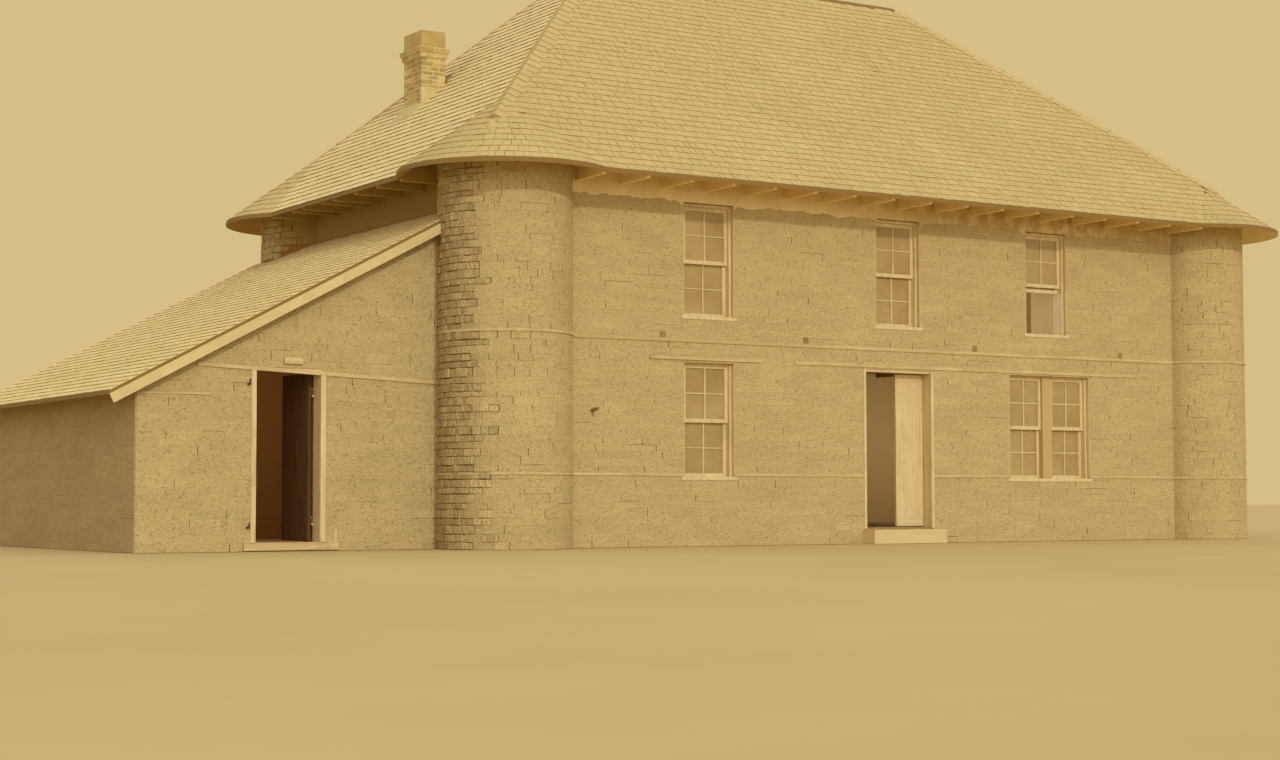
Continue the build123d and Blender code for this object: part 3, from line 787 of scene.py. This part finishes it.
# %% The planes of the main roof
eave_reach, eave_radius = 0.73, 1.37
ridge_z, slope_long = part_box("main_roof")[1].z, 0.934
ridge_from_left, ridge_from_right = 3.33, 3.83
eave_z = ridge_z - slope_long * (house_width / 2 + eave_reach)
slope_left = (ridge_z - eave_z) / (ridge_from_left + eave_reach)
slope_right = (ridge_z - eave_z) / (ridge_from_right + eave_reach)
exposure, lap = 0.133, 1.4
course_rise = exposure * sin(atan(slope_long))
corner_reach = eave_reach + drum_inset
print("slopes", [round(v, 3) for v in (slope_long, slope_left, slope_right)])


def slope_face(origin, along, inward, slope):
    """A roof plane: u is the height above the eave, d the distance out of the plane."""
    pitch = atan(slope)
    up = np.array((*(c / slope for c in inward), 1.0))
    out = (*(-c * sin(pitch) for c in inward), cos(pitch))
    return flat_face(origin, along, out, up)


def shingle_row(start, end, low, rise, rng, width=(0.08, 0.19), tone=0.0, most=100.0):
    """One course; start and end are functions of height, as hips lean."""
    pieces, s, stop, first = [], start(low), end(low), True
    while s < stop - 0.015:
        e = min(stop, s + rng.uniform(*width))
        if stop - e < 0.05:
            e = stop
        top = min(low + rise * lap, most)
        last = e >= stop
        t0, t1 = (start(top) if first else s), (end(top) if last else e)
        butt = low + rise * rng.gauss(0, 0.02)
        if t1 - t0 > 0.01:
            gap = rng.uniform(0.001, 0.008)
            pieces.append((rng.randrange(3), s, e - gap, butt, top, rng.uniform(-0.0015, 0.0015),
                           min(1, max(0, rng.gauss(0.5, 0.22) + tone)), t0, t1 - gap))
        s, first = e, False
    return pieces


# %% [markdown]
# ### Round corners
# Over each drum the eave swings out in an arc. The courses run round it at the same heights as on the
# flat slopes, so every line carries on from the front, round the corner, to the end of the house.


# %% Where the courses of a corner meet the slopes
def corner_round(height, rise):
    """Radius of the course that lies at this height on a corner cone."""
    return eave_radius * (1 - height / rise)


def swing(height, slope, rise):
    """How far along the eave, from the corner's centre, a slope starts at this height."""
    reach, distance = corner_round(height, rise), corner_reach - height / slope
    if distance <= 0:
        return None
    return sqrt(max(0.0, reach ** 2 - distance ** 2)) if reach > 0 else 0.0


def slope_start(slope, neighbour, rise):
    """Start of a course, from the corner of the straight eaves: round corner below, hip above."""
    def start(height):
        side = swing(max(height, 0.0), slope, rise)
        return height / neighbour if side is None else max(corner_reach + side, height / neighbour)
    return start


rises = {-1: min(slope_long, slope_left) * corner_reach, 1: min(slope_long, slope_right) * corner_reach}
roof_x0, roof_x1 = left - eave_reach, right + eave_reach
roof_y0, roof_y1 = front - eave_reach, back + eave_reach
full_x, full_y = roof_x1 - roof_x0, roof_y1 - roof_y0
rng = random.Random(43)
course_count = int((ridge_z - eave_z) / course_rise)
first_lift = 0.012


def mirrored(start, full):
    return lambda height: full - start(height)


def lay_slope(side, x, y, along, inward, slope, full, near, far, material=shingle_material):
    """Courses up a slope; near and far are (neighbour slope, corner rise) at its two ends."""
    surface = slope_face((x, y, eave_z), along, inward, slope)
    start = slope_start(slope, *near)
    end = mirrored(slope_start(slope, *far), full)
    pieces = []
    for k in range(course_count + 1):
        low = k * course_rise + first_lift * (k == 0)
        if low + course_rise * 1.05 > ridge_z - eave_z:
            break
        pieces += shingle_row(start, end, low, course_rise, rng, most=ridge_z - eave_z - 0.012)
    lay(side + "_slope_shingles", shingle_stocks, pieces, surface, material)


ends = (slope_left, rises[-1]), (slope_right, rises[1])
lay_slope("front", roof_x0, roof_y0, TO_RIGHT, (0, 1), slope_long, full_x, *ends)
lay_slope("back", roof_x0, roof_y1, TO_RIGHT, (0, -1), slope_long, full_x, *ends)
ends = [(slope_long, rises[-1])] * 2
lay_slope("left", roof_x0, roof_y0, TO_BACK, (1, 0), slope_left, full_y, *ends, painted_light_left_shingle)
ends = [(slope_long, rises[1])] * 2
lay_slope("right", roof_x1, roof_y0, TO_BACK, (-1, 0), slope_right, full_y, *ends)


# %% Shingles round the corners
def corner_surface(cx, cy, sx, sy, rise, slope_side):
    """s is the angle from the long wall's outward direction towards the end wall's."""
    pitch = atan(rise / eave_radius)

    def surface(s, d, u):
        reach = eave_radius * (1 - u / rise)
        turn = np.clip(s, 0.001, pi / 2 - 0.001)
        hipped = np.minimum((corner_reach - u / slope_long) / np.cos(turn),
                            (corner_reach - u / slope_side) / np.sin(turn))
        share = np.clip((u - 0.45) / 0.2, 0, 1) * ((s > 0) & (s < pi / 2))
        reach = reach + share * np.maximum(hipped - reach, 0)
        reach = np.maximum(reach, 0.0) + d * sin(pitch)
        return np.column_stack((cx + sx * reach * np.sin(s), cy + sy * reach * np.cos(s),
                                eave_z + u + d * cos(pitch)))
    return surface


def lay_corner(name, cx, cy, sx, sy, slope_side):
    rise = rises[sx]
    pieces = []
    for k in range(int(rise / course_rise)):
        low = k * course_rise + first_lift * (k == 0)
        reach = max(corner_round(low, rise), 0.05)
        over = [asin(min(1.0, (swing(low, slope, rise) or 0.0) / reach))
                for slope in (slope_long, slope_side)]
        first, last = -over[0] - 0.02, pi / 2 + over[1] + 0.02
        row = shingle_row(lambda h: first * reach, lambda h: last * reach, low, course_rise, rng,
                          tone=0.1 * (sx < 0), width=(0.08, 0.16))
        pieces += [(stock, s0 / reach, s1 / reach, u0, min(u1, rise - 0.001), out, tone)
                   for stock, s0, s1, u0, u1, out, tone, *_ in row]
    lay(name, shingle_stocks, pieces, corner_surface(cx, cy, sx, sy, rise, slope_side), shingle_material)


end_slopes = {-1: slope_left, 1: slope_right}
for corner, (sx, sy) in corners.items():
    lay_corner(corner + "_corner_shingles", *drum_centre(sx, sy), sx, sy, end_slopes[sx])

# %% [markdown]
# ### Hips
# Along a hip the shingles turn until their grain runs with the hip. They are laid on both planes, in
# step with the courses, a few millimetres above them.


# %% Hip shingles
def lay_hip(name, sx, sy, slope_side):
    """Two strips of shingles along a hip, one on the long slope and one on the end slope."""
    corner = Vector((roof_x0 if sx < 0 else roof_x1, roof_y0 if sy < 0 else roof_y1, eave_z))
    step = Vector((-sx / slope_side, -sy / slope_long, 1.0))
    hip = step.normalized()
    start, stop = 0.66 * step.length, (ridge_z - eave_z) * step.length - 0.16
    rise = course_rise * step.length
    of_long = Vector((0, sy * slope_long, 1)).normalized()
    of_side = Vector((sx * slope_side, 0, 1)).normalized()
    for number, (normal, other, width) in enumerate(((of_long, of_side, 0.17), (of_side, of_long, 0.09)), 1):
        across = hip.cross(normal).normalized()
        if across.dot(other) > 0:
            across = -across
        pieces, u = [], start
        while u < stop:
            wide = width * rng.uniform(0.75, 1.2)
            pieces.append((rng.randrange(3), -0.004, wide, u, min(u + rise * 1.3, stop + 0.1),
                           0.006 + rng.uniform(0, 0.003), rng.uniform(0.35, 0.85)))
            u += rise
        lay(f"{name}_{number}", shingle_stocks, pieces, flat_face(corner, across, normal, hip),
            shingle_material)


for corner in ("front_left", "back_left", "front_right", "back_right"):
    lay_hip(corner + "_hip", *corners[corner], end_slopes[corners[corner][0]])

# %% [markdown]
# ### Lean-to roof
# The same shingles, in a paler copy that is painted light, in courses that run from front to back.

# %% Lean-to shingles
lean_pitch = atan(lean_slope)
lean_eave = -4.65
lean_rise = exposure * sin(lean_pitch)
lean_surface = slope_face((left + lean_eave, front, lean_roof_at(lean_eave)), TO_BACK, (1, 0), lean_slope)
pieces = []
for k in range(int(-lean_eave * lean_slope / lean_rise)):
    low = k * lean_rise + 0.007 * (k == 0)
    beside_drums = lean_eave + (low + 0.5 * lean_rise) / lean_slope > -0.46
    near, far = (0.72, house_width - 0.02) if beside_drums else (0.502, house_width + 0.198)
    pieces += shingle_row(lambda h: near, lambda h: far, low, lean_rise, rng)
lay("lean_to_shingles", shingle_stocks, pieces, lean_surface, painted_light_lean_to_shingle)

# %% [markdown]
# ## Boards on the walls
# Long level boards tie the soft walls together, and short ones carry the turf over the openings.
# One board is sawn, worn at its edges and warped a little; all the others are copies of it.


# %% Model one board and one sash bar
def model_board(warp, seed):
    obj = block("board", (0, 0, 0), (1.8, 0.025, 0.045))
    with edit_mode():
        bevel_all(0.003)
        cut_across(0, [0.15 * i for i in range(1, 12)])
        bpy.ops.mesh.select_all(action="SELECT")
        bpy.ops.transform.vertex_random(offset=warp, seed=seed)
    return as_stock(obj, keep_depth=False)


board_stocks = [model_board(0.0015, 3), model_board(0.0015, 8)]
bar_stocks = [model_board(0.0002, 1)]


def lay_boards(name, boards, surface, material, thick, out=0.0, body="house",
               stocks=board_stocks):
    """boards is a list of (start, end, low, high) on the surface."""
    pieces = [(i % len(stocks), s0, s1, u0, u1, out, 0.5) for i, (s0, s1, u0, u1) in enumerate(boards)]
    lay(name, stocks, pieces, surface, material, body, thick)


# %% Level boards on the front and round the drums
string_low, string_deep = 0.905, 0.038
stops = sorted(edge for hole in lower_holes + [front_door_hole] for edge in hole[:2])
stops = [drum_foot + 0.03, *stops, house_length - drum_foot - 0.03]
lower_string = [(a, b, string_low, string_low + string_deep) for a, b in zip(stops[::2], stops[1::2])]
lay_boards("lower_string_boards", lower_string, front_face, bleached_level, 0.024)
lay_boards("window_header_board", [(2.26, 3.99, 2.408, 2.452)], front_face, bleached_level, 0.034)


def ring_boards(corner, first, last):
    """Two rings of boards, each sawn in two, between two angles in degrees."""
    turn = drum_radius * radians(1)
    middle = (first + last) / 2 * turn
    halves = [(first * turn, middle - 0.002), (middle + 0.002, last * turn)]
    boards = [(a, b, low, low + deep) for a, b in halves for low, deep in ((2.648, 0.034), (string_low, 0.03))]
    lay_boards(corner + "_ring_boards", boards, drum_face(*drum_centre(*corners[corner])), bleached_level,
               0.026, 0.001)


ring_boards("front_left", 165, 332)
ring_boards("front_right", 208, 420)


# %% Boards of the lean-to front, and casings
def upright_face(x, y, out=TO_FRONT, across=TO_RIGHT):
    """A face whose boards stand: start and end are heights, low and high are distances across."""
    return flat_face((x, y, 0), UP, out, across)


fall = Vector((3.13, 0, -0.14)).normalized()
header_face = flat_face((left - 3.54, front + lean_front, 2.17), fall, TO_FRONT, (0.045, 0, 1))
lay_boards("lean_to_header_board", [(0.0, 3.12, 0.0, 0.05)], header_face, bleached_level, 0.03)
for name, board, thick in (("short_board", (-4.22, -3.35, 1.83, 1.862), 0.024),
                           ("block", (-2.46, -2.22, 2.222, 2.31), 0.05),
                           ("sill_board", (-2.96, -1.75, 0.004, 0.098), 0.06)):
    lay_boards("lean_to_" + name, [board], lean_front_face, bleached_level, thick)
casings = [(0.10, 2.17, -2.865, -2.80), (0.10, 2.12, -1.98, -1.91), (0.0, 0.24, -1.80, -1.755)]
lay_boards("lean_to_casings", casings, upright_face(left, front + lean_front), white_upright, 0.028)
casings = [(0.20, 2.38, 5.72, 5.765), (0.20, 2.38, 6.905, 6.955)]
lay_boards("front_door_casings", casings, upright_face(left, front), white_upright, 0.022)

# %% [markdown]
# ## Bars of the sashes
# Each sash holds four panes. The upright bar is the stout one, and the level bar is thin.

# %% Lay the sash bars
sash_bar, frame_board = 0.05, 0.04
sash_depth, sash_step = 0.094, 0.04


def sash_spans(x0, x1, post):
    """Glass between the stiles, on both sides of the post if there is one."""
    edge, middle = frame_board + sash_bar, (x0 + x1) / 2
    if not post:
        return [(x0 + edge, x1 - edge)]
    return [(x0 + edge, middle - post / 2 - sash_bar), (middle + post / 2 + sash_bar, x1 - edge)]


def bars_of(x0, x1, z0, z1, post=0.0, lift=0.0):
    """Upright and level bars of the two sashes of one window, as (plane, start, end, low, high)."""
    low, high = z0 + frame_board, z1 - frame_board
    middle = (low + high) / 2
    sashes = [(middle + sash_bar / 2, high - sash_bar), (low + sash_bar + lift, middle - sash_bar / 2 + lift)]
    uprights, levels = [], []
    for plane, (bottom, top) in enumerate(sashes):
        half = (bottom + top) / 2
        for a, b in sash_spans(x0, x1, post):
            centre = (a + b) / 2
            uprights.append((plane, bottom - 0.004, top + 0.004, centre - 0.011, centre + 0.011))
            levels.append((plane, a - 0.004, centre - 0.009, half - 0.008, half + 0.008))
            levels.append((plane, centre + 0.009, b + 0.004, half - 0.008, half + 0.008))
    return uprights, levels


def lay_bars(name, windows, wall_y, out):
    towards = (0, out, 0)
    for plane, side in enumerate(("outer", "inner")):
        face_y = wall_y - out * (sash_depth + sash_step * plane)
        for i, kind, surface, material, thick, sunk in (
                (0, "upright", upright_face(left, face_y, towards), white_upright, 0.032, -0.032),
                (1, "level", flat_face((left, face_y, 0), TO_RIGHT, towards), white_level, 0.026, -0.029)):
            bars = [bar[1:] for window in windows for bar in window[i] if bar[0] == plane]
            lay_boards(f"{name}_{side}_{kind}_bars", bars, surface, material, thick, sunk,
                       stocks=bar_stocks)


posts, raised = {lower_holes[1]: 0.18}, {upper_holes[2]: 0.62}
front_windows = upper_holes + lower_holes
front_bars = [bars_of(*hole, posts.get(hole, 0.0), raised.get(hole, 0.0)) for hole in front_windows]
lay_bars("front", front_bars, front, -1)
lay_bars("back", [bars_of(*hole) for hole in back_holes], back, 1)


# %% Boards in the window reveals
def lay_linings(name, holes, wall_y, out):
    """Thin boards on both sides of each hole, between the frame and the face of the wall."""
    for side, edge, inward in (("left", 0, TO_RIGHT), ("right", 1, TO_LEFT)):
        for i, hole in enumerate(holes, 1):
            lay_boards(f"{name}_{side}_lining_{i}", [(hole[2] + 0.05, hole[3] - 0.004, -0.010, 0.032)],
                       upright_face(left + hole[edge], wall_y, inward, (0, -out, 0)), white_upright,
                       0.010, -0.003, stocks=bar_stocks)


lay_linings("front", front_windows, front, -1)
lay_linings("back", back_holes, back, 1)

# %% [markdown]
# ## Boarded door leaves
# The leaves are narrow upright boards on ledges. The boards stand a few millimetres proud of the CAD
# leaf and ride with it, so they swing with the door.


# %% Boards of the doors
def boards_between(start, end, low, high, count):
    width, gap = (end - start) / count, 0.005
    return [(low, high, start + i * width + gap / 2, start + (i + 1) * width - gap / 2) for i in range(count)]


def leaf_heights(node_name):
    low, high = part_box(node_name)
    return low.z + 0.006, high.z - 0.006


def dress_leaf(body, x, y, along, out, start, end, count):
    """Boards and two rails on a leaf of the front door; x and y are a point of its face."""
    low, high = leaf_heights("front_door_narrow_leaf")
    lay_boards(body + "_boards", boards_between(start, end, low + 0.12, high - 0.10, count),
               upright_face(x, y, out, along), white_upright, 0.007, -0.003, body)
    lay_boards(body + "_rails", [(start, end, low, low + 0.115), (start, end, high - 0.095, high)],
               flat_face((x, y, 0), along, out), white_level, 0.009, -0.003, body)


pin_set_in, face_from_pin = 0.214, 0.049
pin_y = front + pin_set_in
dress_leaf("narrow_leaf", left, pin_y - face_from_pin, TO_RIGHT, TO_FRONT, 6.434, 6.876, 8)
dress_leaf("wide_leaf", left + 5.774 + face_from_pin, pin_y, TO_BACK, TO_RIGHT, 0.012, 0.63, 11)
lean_leaf_face = upright_face(left - 1.994 - face_from_pin, front + lean_front + pin_set_in, TO_LEFT, TO_BACK)
lay_boards("lean_to_door_boards", boards_between(0.012, 0.79, *leaf_heights("lean_to_door"), 5), lean_leaf_face,
           lean_to_leaf_painted_shade, 0.007, -0.003, "lean_to_leaf")

# %% [markdown]
# ## Chimney
# The CAD shaft is the mortar; bricks stand 5 mm out of it in running bond, with the joints raked by
# the weather. A smear of mortar keeps the rain out where the shaft leaves the roof.


# %% Model one brick and lay the shaft
def model_brick(seed):
    obj = block("brick", (0, -0.015, 0), (0.20, 0.004, 0.062))
    with edit_mode():
        select_faces(obj, lambda c, n: n.y > 0.9)
        bpy.ops.mesh.bevel(offset=0.002, segments=2, affect="EDGES")
        select_faces(obj, lambda c, n: n.y > 0.2)
        bpy.ops.transform.vertex_random(offset=0.0015, seed=seed)
    return as_stock(obj)


brick_stocks = [model_brick(seed) for seed in (2, 5, 9)]
rng = random.Random(7)
shaft_x0, shaft_x1 = left + 0.82, left + 0.82 + 0.37
shaft_y0, shaft_y1 = front + 3.67, front + 3.67 + 0.54
shaft_foot, corbel_foot, cap_foot, cap_top = 5.95, 6.82, 6.96, 7.197


def shaft_faces(out):
    """The four faces of the shaft, moved out by a corbel's step, with their lengths."""
    x0, x1, y0, y1 = shaft_x0 - out, shaft_x1 + out, shaft_y0 - out, shaft_y1 + out
    return [(flat_face((x0, y0, 0), TO_RIGHT, TO_FRONT), x1 - x0),
            (flat_face((x0, y1, 0), TO_RIGHT, TO_BACK), x1 - x0),
            (flat_face((x0, y0, 0), TO_BACK, TO_LEFT), y1 - y0),
            (flat_face((x1, y0, 0), TO_BACK, TO_RIGHT), y1 - y0)]


def lay_brickwork(name, bands):
    """Bricks in running bond on all four faces; a band is (low, high, course, step out)."""
    made = []
    for low, high, course, out in bands:
        brick_rows = even_courses((low, high), course, rng)
        for surface, length in shaft_faces(out):
            count = max(2, round(length / 0.19))
            pieces = []
            for i, (z0, z1) in enumerate(brick_rows):
                joints = [length * (j + 0.5 * (i % 2)) / count for j in range(count + 1)]
                cuts = sorted({0.0, length, *(s for s in joints if 0.03 < s < length - 0.03)})
                for a, b in zip(cuts, cuts[1:]):
                    pieces.append((rng.randrange(3), a + 0.006 * (a > 0), b - 0.006 * (b < length),
                                   z0 + 0.006, z1 - 0.006, rng.uniform(0, 0.003), rng.random()))
            made.append(lay(f"{name}_{len(made)}", brick_stocks, pieces, surface, brick_material))
    only(made[0])
    for obj in made[1:]:
        obj.select_set(True)
    bpy.ops.object.join()
    made[0].name = name


lay_brickwork("chimney_bricks", [(shaft_foot, corbel_foot, 0.062, 0.0), (corbel_foot, 6.89, 0.07, 0.024),
                                 (6.89, cap_foot, 0.07, 0.048)])


# %% Cap, mortar apron and saddle
def finish_piece(obj, material):
    obj.data.materials.clear()
    obj.data.materials.append(material)
    only(obj)
    bpy.ops.object.shade_smooth_by_angle(angle=radians(40))
    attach(obj, "house")


def roughen(obj, cuts, offset, seed, bevel=0.0):
    """Softens the edges of a block and makes its faces uneven, as hand-spread mortar is."""
    only(obj)
    with edit_mode():
        if bevel:
            bevel_all(bevel, 2)
        bpy.ops.mesh.select_all(action="SELECT")
        bpy.ops.mesh.subdivide(number_cuts=cuts)
        bpy.ops.transform.vertex_random(offset=offset, seed=seed)


def set_heights(obj, height):
    """In edit mode: gives each corner the height that the function says."""
    mesh = bmesh.from_edit_mesh(obj.data)
    for v in mesh.verts:
        v.co.z = height(v.co)
    bmesh.update_edit_mesh(obj.data)


skin = block("chimney_skin", (shaft_x0 - 0.01, shaft_y0 - 0.014, shaft_foot),
             (shaft_x1 + 0.01, shaft_y0 + 0.03, 6.40))
roughen(skin, 4, 0.002, 4, 0.004)
finish_piece(skin, smeared_mortar)

apron = block("chimney_apron", (shaft_x0 - 0.21, shaft_y0 - 0.035, 5.80),
              (shaft_x0 + 0.03, shaft_y1 + 0.05, 6.21))
with edit_mode():
    set_heights(apron, lambda co: 5.935 if co.z > 6.1 and co.x < shaft_x0 - 0.1 else co.z)
roughen(apron, 4, 0.006, 5)
finish_piece(apron, smeared_mortar)

cap = block("chimney_cap", (shaft_x0 - 0.008, shaft_y0 - 0.008, cap_foot),
            (shaft_x1 + 0.008, shaft_y1 + 0.008, cap_top))
with edit_mode():
    select_faces(cap, lambda c, n: n.z > 0.9)
    bpy.ops.transform.resize(value=(0.985, 0.985, 1))
roughen(cap, 3, 0.003, 6, 0.008)
finish_piece(cap, sooty_render)

saddle_ridge = (shaft_y0 + shaft_y1) / 2


def saddle_height(co):
    """The saddle's top: a low ridge that climbs towards the slope."""
    if co.z <= 6.5:
        return co.z
    on_ridge, far = abs(co.y - saddle_ridge) < 0.01, co.x > shaft_x1 + 0.2
    return (6.69 if on_ridge else 6.60) if far else (6.58 if on_ridge else 6.44)


saddle = block("chimney_saddle", (shaft_x1 - 0.02, shaft_y0 + 0.02, 6.2),
               (shaft_x1 + 0.30, shaft_y1 - 0.02, 6.58))
with edit_mode():
    cut_across(1, [saddle_ridge])
    set_heights(saddle, saddle_height)
roughen(saddle, 1, 0.002, 2)
finish_piece(saddle, bare_level)

# %% [markdown]
# ## Mud plaster under the eaves
# A skin of pale plaster runs under the roof. Its lower edge is ragged, and it comes down in a round
# lobe beside each window head. It starts as a grid, its lower rows are drawn down to the edge line, and
# Solidify gives it its thickness.


# %% Plaster band
def plaster(name, holes, face_y, out, seed):
    rng = random.Random(seed)
    start, end = drum_foot + 0.02, house_length - drum_foot - 0.02
    steps = int((end - start) / 0.03)
    bpy.ops.object.select_all(action="DESELECT")
    bpy.ops.mesh.primitive_grid_add(x_subdivisions=steps, y_subdivisions=6, size=1)
    obj = bpy.context.object
    obj.name = name
    columns, drift, lobe = {}, 0.0, 0.13
    for v in sorted(obj.data.vertices, key=lambda v: v.co.x):
        key = round(v.co.x, 5)
        if key not in columns:
            drift = 0.8 * drift + rng.uniform(-0.014, 0.014)
            x = start + (end - start) * (v.co.x + 0.5)
            over_window = any(a - 0.01 < x < b + 0.01 for a, b, c, d in holes)
            near = min(abs(x - e) for a, b, c, d in holes for e in (a, b))
            drop = lobe - sqrt(lobe ** 2 - (lobe - near) ** 2) if near < lobe else 0.0
            columns[key] = (x, 4.468 if over_window else 4.47 + drift + rng.uniform(-0.008, 0.008) - drop)
        x, edge = columns[key]
        share = v.co.y + 0.5
        v.co = (left + x, face_y + out * (0.014 + 0.003 * rng.random()), edge + (wall_top - edge) * share)
    only(obj)
    thick = obj.modifiers.new("thickness", "SOLIDIFY")
    thick.thickness = 0.02
    thick.offset = 0
    bpy.ops.object.modifier_apply(modifier="thickness")
    with edit_mode():
        bpy.ops.mesh.select_all(action="SELECT")
        bpy.ops.mesh.normals_make_consistent(inside=False)
    finish_piece(obj, plaster_material)


plaster("front_plaster", upper_holes, front, -1, 20)
plaster("back_plaster", [hole for hole in back_holes if hole[2] == high_sill], back, 1, 30)

# %% [markdown]
# ## Small iron and pegs
# Two hooks beside the lean-to door and a peg on the front wall. Each is a round bar bent or tapered in
# edit mode.


# %% Hooks and peg
def round_bar(name, vertices, radius, depth, place, turn):
    bpy.ops.object.select_all(action="DESELECT")
    bpy.ops.mesh.primitive_cylinder_add(vertices=vertices, radius=radius, depth=depth, location=place,
                                        rotation=turn)
    bar = bpy.context.object
    bar.name = name
    bpy.ops.object.transform_apply(location=True, rotation=True, scale=True)
    return bar


for name, z in (("lean_to_hook_high", 1.97), ("lean_to_hook_low", 0.28)):
    hook = round_bar(name, 12, 0.012, 0.09, (left - 2.905, front + lean_front - 0.02, z), (pi / 2, 0, 0))
    with edit_mode():
        select_faces(hook, lambda c, n: n.y < -0.9)
        bpy.ops.mesh.extrude_region_move(TRANSFORM_OT_translate={"value": (0, -0.012, 0.010)})
        bpy.ops.transform.resize(value=(0.9, 0.9, 0.9))
        bpy.ops.mesh.extrude_region_move(TRANSFORM_OT_translate={"value": (0, -0.004, 0.045)})
        bpy.ops.transform.resize(value=(0.8, 0.8, 0.8))
    finish_piece(hook, iron_material)

peg = round_bar("wall_peg", 14, 0.022, 0.22, (left + 1.40, front - 0.05, 1.73),
                (radians(82), radians(12), 0))
with edit_mode():
    select_faces(peg, lambda c, n: n.y < -0.8)
    bpy.ops.mesh.inset(thickness=0.008, depth=0.006)
finish_piece(peg, bare_across)

# %% [markdown]
# ## Finishes of the CAD nodes
# Every carried-over node gets the finish of its slot, or its own where the picture shows another.

# %% Dress the CAD nodes
by_slot = {"turf": turf_material, "shingles": deck_painted_light_and_shade, "bare_timber": bare_level,
           "white_timber": white_upright, "weathered_boards": bleached_level, "brick": mortar_material,
           "window_glass": glass_painted_reflection}
by_name = {"lean_to_door": lean_to_leaf_painted_shade, "lean_to_door_frame": white_upright, "left_rafters": left_rafter_painted_shade,
           "right_rafters": eave_level_painted_light, "front_rafters": eave_across_painted_light, "back_rafters": eave_across_painted_light,
           "doorstep": step_board, "lower_window_2_frame": pair_frame, "upper_string_board": muddy_board,
           "rake_board_front": pale_board, "rake_board_back": pale_board}
for name, obj in nodes.items():
    slot = obj.data.materials[0].name.split(".")[0]
    obj.data.materials.clear()
    obj.data.materials.append(by_name.get(name) or by_slot[slot])
print("finished", len(nodes), "CAD nodes")
